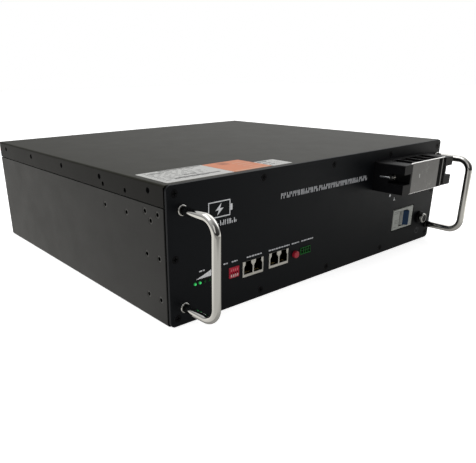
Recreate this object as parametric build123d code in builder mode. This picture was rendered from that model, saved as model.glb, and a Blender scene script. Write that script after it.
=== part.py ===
from build123d import *
import os

os.makedirs("parts", exist_ok=True)

# Server rack battery, three rack units high. Millimetres. +X is right seen from the front,
# the front panel faces -Y, +Z is up. The origin is under the middle of the whole outline.

# ---- Driving dimensions ------------------------------------------------------------------
WIDTH = 442.0  # case width, which passes between the posts of a 19-inch rack
HEIGHT = 132.6  # three rack units
DEPTH = 405.0  # panel face to rear wall
SHEET = 1.2
BEND = 2.0  # outside radius of the sheet metal bends
PANEL = 3.0
PANEL_CORNER = 5.0
PANEL_EDGE = 0.6
HANDLE_REACH = 46.5  # panel face to the grip's axis
ROD_R = 4.1

OUTLINE = DEPTH + HANDLE_REACH + ROD_R
FRONT = HANDLE_REACH + ROD_R - OUTLINE / 2
BACK = FRONT + DEPTH
PANEL_BACK = FRONT + PANEL
HALF = WIDTH / 2

ABOVE = (Align.CENTER, Align.CENTER, Align.MIN)
BELOW = (Align.CENTER, Align.CENTER, Align.MAX)

# ---- Case --------------------------------------------------------------------------------
JOGGLE_Z = 110.6  # the tray's walls step inwards here to take the cover's flanges
JOGGLE = 1.4
RIM_Z = HEIGHT - SHEET - 0.2
COVER_Z = 113.0  # lower edge of the cover's flanges
COVER_GAP = 0.2
FRAME_SIDE = 20.0  # widths of the flanges that the panel is screwed to
FRAME_BOTTOM = 16.0
FRAME_TOP_Z = 117.0
FRAME_BACK = PANEL_BACK + SHEET

PANEL_SCREW_XS = (-213.0, -106.5, 0.0, 106.5, 213.0)
PANEL_SCREW_ZS = (8.0, 125.0)
PANEL_SIDE_SCREW = (214.0, 66.0)
M4_R = 2.0
M4_CLEAR = 2.2
M4_HEAD_R = 4.0
M4_LENGTH = 8.0
CLINCH_R = 3.6
CLINCH = 2.2
THREAD_PLAY = 0.03

COVER_SCREW_Z = 124.5
COVER_SCREW_YS = tuple(FRONT + 28.5 + 87.9 * i for i in range(5))
COVER_REAR_XS = (-180.0, -60.0, 60.0, 180.0)
COVER_SPARE_HOLES = ((FRONT + 67.7, 118.2), (FRONT + 109.8, 118.2))
COVER_SPARE_R = 2.2
M3_R = 1.5
M3_CLEAR = 1.7
M3_HEAD_R = 2.8
M3_LENGTH = 6.0

EAR_YS = (FRONT + 15.0, FRONT + 35.0)  # rack ear holes, two columns of three
EAR_ZS = (24.0, 64.5, 105.0)
SIDE_LINE_YS = (FRONT + 26.3, FRONT + 67.5, FRONT + 108.7)
SIDE_LINE_Z = 97.5
INSERT_R = 3.2
INSERT_FLANGE_R = 4.6
INSERT = 2.6

# ---- Handles -----------------------------------------------------------------------------
HANDLES = ((-206.0, (18.0, 110.0)), (212.0, (20.0, 112.0)))  # X, heights of the two feet
HANDLE_BEND = 14.5
COLLAR_R = 5.1
COLLAR = 3.0
COLLAR_CHAMFER = 0.7
M5_R = 2.5
M5_CLEAR = 2.8
HANDLE_THREAD = 14.0
HANDLE_THREAD_SPARE = 3.0
HANDLE_SCREW_HEAD = (4.4, 3.2)  # radius, height

# ---- Front panel fittings ----------------------------------------------------------------
BOARD_Y = FRONT + 14.0  # front face of the communication board
BOARD = 1.6
LED_Z = 37.0
CHARGE_LED_XS = tuple(-192.5 + 5.8 * i for i in range(4))
STATUS_LED_XS = (-168.7, -162.7)
LED_R = 1.5
LED_PLAY = 0.1
DIP_CENTRE = (-143.9, 36.9)
DIP_SIZE = (13.2, 11.2)
DIP_PITCH = 2.7
DIP_SLOT_Z = 35.2
DIP_TRAVEL = 2.4
DIP_PLAY = 0.3
RJ_CENTRES = ((-118.4, 36.2), (-81.4, 36.8))
RJ_SIZE = (28.6, 16.4)
RJ_PITCH = 13.6
RESET_CENTRE = (-55.6, 35.6)
RESET_R = 3.9
DRY_CENTRE = (-39.3, 36.9)
DRY_SIZE = (16.4, 7.8)
DRY_PITCH = 3.8
DRY_POLES = 4
WINDOW_GAP = 0.3

BREAKER_CENTRE = (151.5, 38.7)
BREAKER_NOSE = (45.0, 27.0)
BREAKER_WINDOW = (47.0, 28.6)
BREAKER_BODY = 80.0
BREAKER_SHOULDER_Y = FRONT + 20.0
BREAKER_BACK_Y = FRONT + 64.0
TOGGLE_PIVOT_Y = FRONT + 5.7
TOGGLE_LEAN = 38.0  # degrees from straight out, towards +X when on
TOGGLE_TIP = 12.4
TOGGLE_THICK = 4.8
TOGGLE_LENGTH = 19.5

SWITCH_CENTRE = (191.0, 33.0)
SWITCH_R = 6.0
SWITCH_BEZEL_R = 8.2
SWITCH_BEZEL = 3.6
BUTTON_R = 6.4
BUTTON_OUT = 8.4

TERMINAL_XS = (75.0, 180.0)
TERMINAL_ZS = (86.0, 119.5)
TERMINAL_DEPTH = 39.5
TERMINAL_EAR = 16.0
TERMINAL_FLOOR = 9.0
TERMINAL_NOTCH_ZS = (97.3, 109.0)
TERMINAL_NOTCH_FLOOR = 20.0
TERMINAL_NOTCH_X = 9.0  # ear's outer end to just past its screw
TERMINAL_NOTCH_EXTRA = 4.0
TERMINAL_POLES = 4
TERMINAL_PASS = 16.0  # height of the slot in the panel behind the poles, and its extra width
FIN = 2.4
FIN_OUT = 36.2
COVER_PLATE = 2.0
PEG_R = 1.45
PEG_BOSS_R = 2.8


def at_depth(y):
    """Plane that faces the front at depth y: its sketches are drawn in X and Z."""
    return Plane.XZ.offset(-y)


def front_places(y, spots):
    return [at_depth(y).location * Pos(x, z, 0) for x, z in spots]


def back_places(y, spots):
    """Places that face +Y at depth y, given as X and Z."""
    plane = Plane(origin=(0, y, 0), x_dir=(-1, 0, 0), z_dir=(0, 1, 0))
    return [plane.location * Pos(-x, z, 0) for x, z in spots]


def side_places(side, x, spots):
    """Places that face out of the right (side 1) or left (side -1) wall, given as Y and Z."""
    plane = Plane(origin=(side * x, 0, 0), x_dir=(0, side, 0), z_dir=(side, 0, 0))
    return [plane.location * Pos(side * y, z, 0) for y, z in spots]


def block(xs, ys, zs, mode=Mode.ADD):
    """Box between two corners."""
    with Locations(((xs[0] + xs[1]) / 2, (ys[0] + ys[1]) / 2, (zs[0] + zs[1]) / 2)):
        Box(abs(xs[1] - xs[0]), abs(ys[1] - ys[0]), abs(zs[1] - zs[0]), mode=mode)


def cross_recess(places, half_length, width, depth):
    with Locations(*places):
        Box(2 * half_length, width, depth, align=BELOW, mode=Mode.SUBTRACT)
        Box(width, 2 * half_length, depth, align=BELOW, mode=Mode.SUBTRACT)


def flat_screws(places, head_r, shank_r, length):
    """Countersunk screws, flush with their places."""
    with Locations(*places):
        Cone(shank_r, head_r, head_r - shank_r, align=BELOW)
        Cylinder(shank_r, length, align=BELOW)
    cross_recess(places, 0.62 * head_r, 0.24 * head_r, 0.4 * head_r)


def pan_screws(places, head_r, head, shank_r, length):
    """Screws whose heads stand on their places."""
    with Locations(*places):
        Cylinder(head_r, head, align=ABOVE)
        Cylinder(shank_r, length, align=BELOW)
    tops = [place * Pos(0, 0, head) for place in places]
    cross_recess(tops, 0.6 * head_r, 0.24 * head_r, 0.6 * head)


def rings(places, outer_r, bore_r, height, align=ABOVE):
    """Plain round nuts, collars or washers."""
    with Locations(*places):
        Cylinder(outer_r, height, align=align)
        Cylinder(bore_r, height, align=align, mode=Mode.SUBTRACT)


def hex_nuts(places, across, bore_r, height):
    for place in places:
        with BuildSketch(Plane(place)) as outline:
            RegularPolygon(across / 2, 6, major_radius=False)
            Circle(bore_r, mode=Mode.SUBTRACT)
        extrude(outline.sketch, amount=height)


def round_bar(points, bends, radius):
    """Round bar or lead along straight runs joined by arcs."""
    with BuildLine() as route:
        FilletPolyline(*points, radius=bends)
    with BuildSketch(Plane(origin=route.line @ 0, z_dir=route.line % 0)) as section:
        Circle(radius)
    sweep(section.sketch, path=route.line)


def finish(part, name):
    part.part.label = name
    export_step(part.part, f"parts/{name}.step")


PANEL_SCREWS = [(x, z) for x in PANEL_SCREW_XS for z in PANEL_SCREW_ZS]
PANEL_SCREWS += [(side * PANEL_SIDE_SCREW[0], PANEL_SIDE_SCREW[1]) for side in (-1, 1)]
HANDLE_FEET = [(x, z) for x, heights in HANDLES for z in heights]
COVER_SIDE_SPOTS = [(y, COVER_SCREW_Z) for y in COVER_SCREW_YS]
COVER_REAR_SPOTS = [(x, COVER_SCREW_Z) for x in COVER_REAR_XS]
INSERT_SPOTS = [(y, z) for y in EAR_YS for z in EAR_ZS] + [(y, SIDE_LINE_Z) for y in SIDE_LINE_YS]
EAR_MID_X = (TERMINAL_XS[0] + TERMINAL_NOTCH_X - 1.0, TERMINAL_XS[1] - TERMINAL_NOTCH_X + 1.0)
NOTCH_MID_Z = sum(TERMINAL_NOTCH_ZS) / 2
EAR_SCREWS = [(x, NOTCH_MID_Z) for x in EAR_MID_X]
BAY_FIRST = TERMINAL_XS[0] + TERMINAL_EAR
BAY_PITCH = (TERMINAL_XS[1] - TERMINAL_XS[0] - 2 * TERMINAL_EAR) / TERMINAL_POLES
POLE_XS = [BAY_FIRST + BAY_PITCH * (i + 0.5) for i in range(TERMINAL_POLES)]
POLE_Z = sum(TERMINAL_ZS) / 2

# ---- Chassis tray: floor, side and rear walls and the flanges behind the panel -------------
with BuildPart() as chassis_tray:
    with BuildSketch(Plane.XY):
        with Locations((0, (PANEL_BACK + BACK) / 2)):
            RectangleRounded(WIDTH, BACK - PANEL_BACK, BEND)
    extrude(amount=JOGGLE_Z + SHEET)
    fillet(chassis_tray.faces().sort_by(Axis.Z)[0].edges(), BEND - 0.1)
    with BuildSketch(Plane.XY.offset(JOGGLE_Z + SHEET)):
        with Locations((0, (PANEL_BACK + BACK - JOGGLE) / 2)):
            RectangleRounded(WIDTH - 2 * JOGGLE, BACK - PANEL_BACK - JOGGLE, BEND)
    extrude(amount=RIM_Z - JOGGLE_Z - SHEET)
    inner = HALF - SHEET
    block((-inner, inner), (FRAME_BACK, BACK - SHEET), (SHEET, JOGGLE_Z), Mode.SUBTRACT)
    upper = HALF - JOGGLE - SHEET
    block(
        (-upper, upper),
        (FRAME_BACK, BACK - JOGGLE - SHEET),
        (JOGGLE_Z, RIM_Z),
        Mode.SUBTRACT,
    )
    opening = HALF - FRAME_SIDE
    block((-opening, opening), (PANEL_BACK, FRAME_BACK), (FRAME_BOTTOM, FRAME_TOP_Z), Mode.SUBTRACT)
    with Locations(*front_places(PANEL_BACK, PANEL_SCREWS)):
        Cylinder(M4_CLEAR, 2 * SHEET, mode=Mode.SUBTRACT)
    with Locations(*front_places(PANEL_BACK, HANDLE_FEET)):
        Cylinder(M5_CLEAR, 2 * SHEET, mode=Mode.SUBTRACT)
    for side in (-1, 1):
        with Locations(*side_places(side, HALF - JOGGLE, COVER_SIDE_SPOTS)):
            Cylinder(M3_CLEAR, 3 * SHEET, mode=Mode.SUBTRACT)
        with Locations(*side_places(side, HALF, INSERT_SPOTS)):
            Cylinder(INSERT_R, 3 * SHEET, mode=Mode.SUBTRACT)
    with Locations(*back_places(BACK - JOGGLE, COVER_REAR_SPOTS)):
        Cylinder(M3_CLEAR, 3 * SHEET, mode=Mode.SUBTRACT)
finish(chassis_tray, "chassis_tray")

# ---- Top cover: a shallow lid with flanges at the sides and the rear ------------------------
COVER_FRONT = PANEL_BACK + COVER_GAP
with BuildPart() as top_cover:
    with BuildSketch(Plane.XY.offset(COVER_Z)):
        with Locations((0, (COVER_FRONT + BACK) / 2)):
            Rectangle(WIDTH, BACK - COVER_FRONT)
    extrude(amount=HEIGHT - COVER_Z)
    fillet(top_cover.edges().filter_by(Axis.Z).sort_by(Axis.Y)[-2:], BEND)
    top_edges = top_cover.faces().sort_by(Axis.Z)[-1].edges()
    fillet(top_edges - top_edges.sort_by(Axis.Y)[:1], BEND)
    cover_inner = HALF - SHEET
    block(
        (-cover_inner, cover_inner),
        (COVER_FRONT, BACK - SHEET),
        (COVER_Z, HEIGHT - SHEET),
        Mode.SUBTRACT,
    )
    block((-HALF, HALF), (COVER_FRONT, FRAME_BACK + 0.8), (COVER_Z, HEIGHT - BEND), Mode.SUBTRACT)
    for side in (-1, 1):
        with Locations(*side_places(side, HALF, COVER_SIDE_SPOTS)):
            Cone(M3_R, M3_HEAD_R, M3_HEAD_R - M3_R, align=BELOW, mode=Mode.SUBTRACT)
            Cylinder(M3_CLEAR, 2 * SHEET, align=BELOW, mode=Mode.SUBTRACT)
        with Locations(*side_places(side, HALF, COVER_SPARE_HOLES)):
            Cylinder(COVER_SPARE_R, 2 * SHEET + 0.2, mode=Mode.SUBTRACT)
    with Locations(*back_places(BACK, COVER_REAR_SPOTS)):
        Cone(M3_R, M3_HEAD_R, M3_HEAD_R - M3_R, align=BELOW, mode=Mode.SUBTRACT)
        Cylinder(M3_CLEAR, 2 * SHEET, align=BELOW, mode=Mode.SUBTRACT)
finish(top_cover, "top_cover")

# ---- Front panel ------------------------------------------------------------------------------
with BuildPart() as front_panel:
    with BuildSketch(at_depth(FRONT)):
        with Locations((0, HEIGHT / 2)):
            RectangleRounded(WIDTH, HEIGHT, PANEL_CORNER)
    extrude(amount=-PANEL)
    fillet(front_panel.faces().sort_by(Axis.Y)[0].edges(), PANEL_EDGE)
    with BuildSketch(at_depth(FRONT)):
        with Locations(*[(x, LED_Z) for x in (*CHARGE_LED_XS, *STATUS_LED_XS)]):
            Circle(LED_R + LED_PLAY)
        with Locations(DIP_CENTRE):
            Rectangle(DIP_SIZE[0] + WINDOW_GAP, DIP_SIZE[1] + WINDOW_GAP)
        with Locations(*RJ_CENTRES):
            Rectangle(RJ_SIZE[0] + WINDOW_GAP, RJ_SIZE[1] + WINDOW_GAP)
        with Locations(RESET_CENTRE):
            Circle(RESET_R + WINDOW_GAP)
        with Locations(DRY_CENTRE):
            Rectangle(DRY_SIZE[0] + WINDOW_GAP, DRY_SIZE[1] + WINDOW_GAP)
        with Locations(BREAKER_CENTRE):
            Rectangle(*BREAKER_WINDOW)
        with Locations(SWITCH_CENTRE):
            Circle(SWITCH_R + 0.1)
        with Locations(((POLE_XS[0] + POLE_XS[-1]) / 2, POLE_Z)):
            Rectangle(POLE_XS[-1] - POLE_XS[0] + TERMINAL_PASS, TERMINAL_PASS)
        with Locations(*EAR_SCREWS, *HANDLE_FEET):
            Circle(M5_CLEAR)
    extrude(amount=-PANEL, mode=Mode.SUBTRACT)
    with Locations(*front_places(FRONT, PANEL_SCREWS)):
        Cone(M4_CLEAR, M4_HEAD_R, M4_HEAD_R - M4_CLEAR, align=BELOW, mode=Mode.SUBTRACT)
        Cylinder(M4_CLEAR, PANEL, align=BELOW, mode=Mode.SUBTRACT)
finish(front_panel, "front_panel")

# ---- Case fasteners -----------------------------------------------------------------------------
with BuildPart() as front_panel_screws:
    flat_screws(front_places(FRONT, PANEL_SCREWS), M4_HEAD_R - 0.2, M4_R - THREAD_PLAY, M4_LENGTH)
finish(front_panel_screws, "front_panel_screws")

cover_screw_places = side_places(1, HALF, COVER_SIDE_SPOTS) + side_places(-1, HALF, COVER_SIDE_SPOTS)
cover_screw_places += back_places(BACK, COVER_REAR_SPOTS)
with BuildPart() as cover_screws:
    flat_screws(cover_screw_places, M3_HEAD_R - 0.15, M3_R - THREAD_PLAY, M3_LENGTH)
finish(cover_screws, "cover_screws")

with BuildPart() as clinch_nuts:
    wall = HALF - JOGGLE - SHEET
    rings(back_places(FRAME_BACK, PANEL_SCREWS), CLINCH_R, M4_R, CLINCH)
    rings(side_places(1, wall, COVER_SIDE_SPOTS), CLINCH_R, M3_R, CLINCH, BELOW)
    rings(side_places(-1, wall, COVER_SIDE_SPOTS), CLINCH_R, M3_R, CLINCH, BELOW)
    rings(back_places(BACK - JOGGLE - SHEET, COVER_REAR_SPOTS), CLINCH_R, M3_R, CLINCH, BELOW)
finish(clinch_nuts, "clinch_nuts")

with BuildPart() as side_inserts:
    for side in (-1, 1):
        with Locations(*side_places(side, HALF - SHEET, INSERT_SPOTS)):
            Cylinder(INSERT_R - 0.02, SHEET - 0.2, align=ABOVE)
            Cylinder(INSERT_FLANGE_R, INSERT, align=BELOW)
        with Locations(*side_places(side, HALF, INSERT_SPOTS)):
            Cylinder(M4_R, 2 * (SHEET + INSERT), mode=Mode.SUBTRACT)
finish(side_inserts, "side_inserts")

# ---- Handles --------------------------------------------------------------------------------------
for (x, (low, high)), name in zip(HANDLES, ("handle_left", "handle_right")):
    grip_y = FRONT - HANDLE_REACH
    with BuildPart() as handle:
        round_bar(
            [(x, FRONT, low), (x, grip_y, low), (x, grip_y, high), (x, FRONT, high)],
            HANDLE_BEND,
            ROD_R,
        )
        with Locations(*back_places(FRONT, [(x, low), (x, high)])):
            Cylinder(M5_R, HANDLE_THREAD, align=BELOW, mode=Mode.SUBTRACT)
    finish(handle, name)

with BuildPart() as handle_collars:
    with Locations(*front_places(FRONT, HANDLE_FEET)):
        Cylinder(COLLAR_R, COLLAR - COLLAR_CHAMFER, align=ABOVE)
    with Locations(*front_places(FRONT - COLLAR + COLLAR_CHAMFER, HANDLE_FEET)):
        Cone(COLLAR_R, COLLAR_R - COLLAR_CHAMFER, COLLAR_CHAMFER, align=ABOVE)
    with Locations(*front_places(FRONT, HANDLE_FEET)):
        Cylinder(ROD_R + 0.02, COLLAR, align=ABOVE, mode=Mode.SUBTRACT)
finish(handle_collars, "handle_collars")

with BuildPart() as handle_screws:
    pan_screws(
        back_places(FRAME_BACK, HANDLE_FEET),
        *HANDLE_SCREW_HEAD,
        M5_R - THREAD_PLAY,
        SHEET + PANEL + HANDLE_THREAD - HANDLE_THREAD_SPARE,
    )
finish(handle_screws, "handle_screws")

# ---- Cells: two rows of eight, each cell's poles near the ends of its top ------------------------
CELL = (50.0, 160.0, 116.0)
CELL_CORNER = 3.0
CELL_GAP = 0.6
CELLS_PER_ROW = 8
CELL_PITCH = CELL[0] + CELL_GAP
CELL_XS = [CELL_PITCH * (i - (CELLS_PER_ROW - 1) / 2) for i in range(CELLS_PER_ROW)]
BASE_SHEET = 2.0
CELL_Z = SHEET + BASE_SHEET
CELL_TOP = CELL_Z + CELL[2]
ROW_YS = (FRONT + 157.0, FRONT + 319.0)
POLE_OFFSET = 60.0
POLE_R = 8.0
POLE = 2.8
LINK = 2.0
LINK_WIDTH = 20.0
STUD_R = 2.95
STUD = 10.0
NUT_ACROSS = 10.0
NUT = 5.0
LINK_Z = CELL_TOP + POLE
POLE_SPOTS = [(x, y + end * POLE_OFFSET) for y in ROW_YS for x in CELL_XS for end in (-1, 1)]

for y, name in zip(ROW_YS, ("cells_front_row", "cells_rear_row")):
    with BuildPart() as cells:
        with BuildSketch(Plane.XY.offset(CELL_Z)):
            with Locations(*[(x, y) for x in CELL_XS]):
                RectangleRounded(CELL[0], CELL[1], CELL_CORNER)
        extrude(amount=CELL[2])
    finish(cells, name)

with BuildPart() as cell_poles:
    with Locations(*[(x, y, CELL_TOP) for x, y in POLE_SPOTS]):
        Cylinder(POLE_R, POLE, align=ABOVE)
        Cylinder(STUD_R, STUD, align=ABOVE)
finish(cell_poles, "cell_poles")

# The string runs back and forth between the rows, so that it ends at both front corners.
front_poles_y = ROW_YS[0] - POLE_OFFSET
middle_y = (ROW_YS[0] + ROW_YS[1]) / 2
rear_poles_y = ROW_YS[1] + POLE_OFFSET
with BuildPart() as cell_links:
    with BuildSketch(Plane.XY.offset(LINK_Z)):
        for i in range(CELLS_PER_ROW - 1):
            link_y = rear_poles_y if i % 2 == 0 else front_poles_y
            with Locations(((CELL_XS[i] + CELL_XS[i + 1]) / 2, link_y)):
                RectangleRounded(CELL_PITCH + LINK_WIDTH, LINK_WIDTH, LINK_WIDTH / 4)
        for x in CELL_XS:
            with Locations((x, middle_y)):
                between = ROW_YS[1] - ROW_YS[0] - 2 * POLE_OFFSET
                RectangleRounded(LINK_WIDTH, between + LINK_WIDTH, LINK_WIDTH / 4)
        with Locations(*POLE_SPOTS):
            Circle(STUD_R + 0.2, mode=Mode.SUBTRACT)
    extrude(amount=LINK)
finish(cell_links, "cell_links")

with BuildPart() as link_nuts:
    hex_nuts([Pos(x, y, LINK_Z + LINK) for x, y in POLE_SPOTS], NUT_ACROSS, STUD_R + THREAD_PLAY, NUT)
finish(link_nuts, "link_nuts")

# ---- Clamping of the cells ------------------------------------------------------------------------
END_PLATE = 8.0
PACK_FRONT = ROW_YS[0] - CELL[1] / 2
PACK_BACK = ROW_YS[1] + CELL[1] / 2
PACK_HALF = CELL_XS[-1] + CELL[0] / 2
PLATE_TOP = CELL_TOP - 6.0
TIE = 1.5
TIE_HEIGHT = 14.0
TIE_ZS = (32.0, 84.0)
TIE_HOOK = 20.0
with BuildPart() as end_plates:
    for side in (-1, 1):
        block(
            (side * (PACK_HALF + 0.3), side * (PACK_HALF + 0.3 + END_PLATE)),
            (PACK_FRONT, PACK_BACK),
            (CELL_Z, PLATE_TOP),
        )
finish(end_plates, "end_plates")

tie_half = PACK_HALF + 0.3 + END_PLATE
with BuildPart() as tie_bars:
    for z in TIE_ZS:
        rise = (z - TIE_HEIGHT / 2, z + TIE_HEIGHT / 2)
        for face, inward in ((PACK_FRONT, 1), (PACK_BACK, -1)):
            block((-tie_half - TIE, tie_half + TIE), (face - inward * TIE, face), rise)
            for side in (-1, 1):
                block((side * tie_half, side * (tie_half + TIE)), (face, face + inward * TIE_HOOK), rise)
finish(tie_bars, "tie_bars")

spacer_xs = [(a + b) / 2 for a, b in zip(CELL_XS, CELL_XS[1:])]
with BuildPart() as cell_insulation:
    with BuildSketch(Plane.XY.offset(CELL_Z + 0.2)):
        with Locations(*[(x, y) for x in spacer_xs for y in ROW_YS]):
            Rectangle(CELL_GAP, CELL[1] - 2 * CELL_CORNER)
    extrude(amount=CELL[2] - 4.0)
    block((-tie_half, tie_half), (PACK_FRONT, PACK_BACK), (SHEET, CELL_Z))
    block((-PACK_HALF, PACK_HALF), (PACK_FRONT + 4.0, PACK_BACK - 4.0), (RIM_Z - 1.0, RIM_Z - 0.2))
finish(cell_insulation, "cell_insulation")

with BuildPart() as sense_boards:
    for y in ROW_YS:
        block((-PACK_HALF + 6.0, PACK_HALF - 6.0), (y - 12.0, y + 12.0), (CELL_TOP, CELL_TOP + BOARD))
finish(sense_boards, "sense_boards")

# ---- Battery management: power board on a finned heatsink that stands on the floor ------------------
BMS_XS = (-160.0, 84.0)
BMS_ZS = (12.0, 108.0)
BMS_Y = FRONT + 38.0
FET = (10.4, 4.6, 15.0)
FETS = 16
SINK_Y = BMS_Y + BOARD + FET[1]
SINK_BASE = 4.0
SINK_FIN = 14.0
FIN_COUNT = 10
SINK_FIN_THICK = 2.0
FET_INSET = 20.0
FET_PITCH = (BMS_XS[1] - BMS_XS[0] - 2 * FET_INSET) / (FETS - 1)
FET_Z = 60.0
BMS_CAP = (5.0, 12.0)  # radius, height
BMS_CAP_XS = tuple(-40.0 + 14.0 * i for i in range(4))
BMS_CAP_Z = 92.0
BMS_INSET = 7.0
STANDOFF_R = 2.8
bms_hole_xs = (BMS_XS[0] + BMS_INSET, BMS_XS[1] - BMS_INSET)
bms_hole_zs = (BMS_ZS[0] + BMS_INSET, BMS_ZS[1] - BMS_INSET)
BMS_STANDOFFS = [(x, z) for x in bms_hole_xs for z in bms_hole_zs]
with BuildPart() as bms_board:
    block(BMS_XS, (BMS_Y, BMS_Y + BOARD), BMS_ZS)
    with Locations(*back_places(BMS_Y, BMS_STANDOFFS)):
        Cylinder(M3_CLEAR, 3 * BOARD, mode=Mode.SUBTRACT)
finish(bms_board, "bms_board")

with BuildPart() as bms_components:
    for i in range(FETS):
        x = BMS_XS[0] + FET_INSET + FET_PITCH * i
        block(
            (x - FET[0] / 2, x + FET[0] / 2),
            (BMS_Y + BOARD, SINK_Y),
            (FET_Z - FET[2] / 2, FET_Z + FET[2] / 2),
        )
    with Locations(*front_places(BMS_Y, [(x, BMS_CAP_Z) for x in BMS_CAP_XS])):
        Cylinder(*BMS_CAP, align=ABOVE)
finish(bms_components, "bms_components")

with BuildPart() as bms_heatsink:
    block(BMS_XS, (SINK_Y, SINK_Y + SINK_BASE), (SHEET, BMS_ZS[1]))
    for i in range(FIN_COUNT):
        z = SHEET + (BMS_ZS[1] - SHEET - SINK_FIN_THICK) * i / (FIN_COUNT - 1)
        fin_depths = (SINK_Y + SINK_BASE, SINK_Y + SINK_BASE + SINK_FIN)
        block(BMS_XS, fin_depths, (z, z + SINK_FIN_THICK))
    with Locations(*back_places(SINK_Y, BMS_STANDOFFS)):
        Cylinder(M3_R, SINK_BASE, align=ABOVE, mode=Mode.SUBTRACT)
finish(bms_heatsink, "bms_heatsink")

BMS_POSTS = ((-140.0, 84.0), (40.0, 84.0))
POST_R = 8.0
POST = 6.0
POST_STUD = 8.0  # thread that stands out of the post
POST_NUT = 4.0
LUG_SHEET = 2.4
with BuildPart() as bms_posts:
    with Locations(*front_places(BMS_Y, BMS_POSTS)):
        Cylinder(POST_R, POST, align=ABOVE)
        Cylinder(STUD_R, POST + POST_STUD, align=ABOVE)
    post_nut_places = front_places(BMS_Y - POST - LUG_SHEET, BMS_POSTS)
    hex_nuts(post_nut_places, NUT_ACROSS, STUD_R + THREAD_PLAY, POST_NUT)
finish(bms_posts, "bms_posts")

# ---- Communication board and its fittings ------------------------------------------------------------
COMM_XS = (-198.0, -20.0)
COMM_ZS = (22.0, 66.0)
COMM_INSET = 4.5
comm_hole_xs = (COMM_XS[0] + COMM_INSET, COMM_XS[1] - COMM_INSET)
comm_hole_zs = (COMM_ZS[0] + COMM_INSET, COMM_ZS[1] - COMM_INSET)
COMM_HOLES = [(x, z) for x in comm_hole_xs for z in comm_hole_zs]
with BuildPart() as comm_board:
    block(COMM_XS, (BOARD_Y, BOARD_Y + BOARD), COMM_ZS)
    with Locations(*back_places(BOARD_Y, COMM_HOLES)):
        Cylinder(M3_CLEAR, 3 * BOARD, mode=Mode.SUBTRACT)
finish(comm_board, "comm_board")

with BuildPart() as board_standoffs:
    rings(back_places(PANEL_BACK, COMM_HOLES), STANDOFF_R, M3_R, BOARD_Y - PANEL_BACK)
    rings(back_places(BMS_Y + BOARD, BMS_STANDOFFS), STANDOFF_R, M3_R, FET[1])
finish(board_standoffs, "board_standoffs")

BOARD_SCREW = (2.7, 2.0, M3_R - THREAD_PLAY)  # head's radius and height, shank's radius
BOARD_SCREW_BITE = 6.0
SINK_SCREW_BITE = 3.0
with BuildPart() as board_screws:
    pan_screws(back_places(BOARD_Y + BOARD, COMM_HOLES), *BOARD_SCREW, BOARD + BOARD_SCREW_BITE)
    pan_screws(front_places(BMS_Y, BMS_STANDOFFS), *BOARD_SCREW, BOARD + FET[1] + SINK_SCREW_BITE)
finish(board_screws, "board_screws")

for xs, name in ((CHARGE_LED_XS, "charge_leds"), (STATUS_LED_XS, "status_leds")):
    with BuildPart() as leds:
        with Locations(*front_places(BOARD_Y, [(x, LED_Z) for x in xs])):
            Cylinder(LED_R, BOARD_Y - FRONT, align=ABOVE)
        with Locations(*front_places(FRONT, [(x, LED_Z) for x in xs])):
            Sphere(LED_R)
        block((-HALF, HALF), (BOARD_Y, BOARD_Y + 2 * LED_R), (0, HEIGHT), Mode.SUBTRACT)
    finish(leds, name)

DIP_PROUD = 0.5
DIP_FACE_Y = FRONT - DIP_PROUD
SLIDER = (1.4, 2.2)
SLIDER_OUT = 0.7
SLIDER_LIFT = 0.1  # clear of the slot's floor
DIP_SLOT = (SLIDER[0] + DIP_PLAY, SLIDER[1] + DIP_TRAVEL + 2 * DIP_PLAY)
DIP_SLOT_DEPTH = 1.6
DIP_XS = [DIP_CENTRE[0] + DIP_PITCH * (i - 1.5) for i in range(4)]
with BuildPart() as dip_switch_body:
    with BuildSketch(at_depth(BOARD_Y)):
        with Locations(DIP_CENTRE):
            Rectangle(*DIP_SIZE)
    extrude(amount=BOARD_Y - DIP_FACE_Y)
    chamfer(dip_switch_body.faces().sort_by(Axis.Y)[0].edges(), 0.4)
    with BuildSketch(at_depth(DIP_FACE_Y)):
        with Locations(*[(x, DIP_SLOT_Z) for x in DIP_XS]):
            Rectangle(*DIP_SLOT)
    extrude(amount=-DIP_SLOT_DEPTH, mode=Mode.SUBTRACT)
finish(dip_switch_body, "dip_switch_body")

slider_z = DIP_SLOT_Z - DIP_SLOT[1] / 2 + SLIDER[1] / 2 + DIP_PLAY
slider_base_y = DIP_FACE_Y + DIP_SLOT_DEPTH - SLIDER_LIFT
for i, x in enumerate(DIP_XS):
    with BuildPart() as slider:
        with BuildSketch(at_depth(slider_base_y)):
            with Locations((x, slider_z)):
                Rectangle(*SLIDER)
        extrude(amount=slider_base_y - DIP_FACE_Y + SLIDER_OUT)
        chamfer(slider.faces().sort_by(Axis.Y)[0].edges(), 0.25)
    finish(slider, f"dip_slider_{i + 1}")

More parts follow.
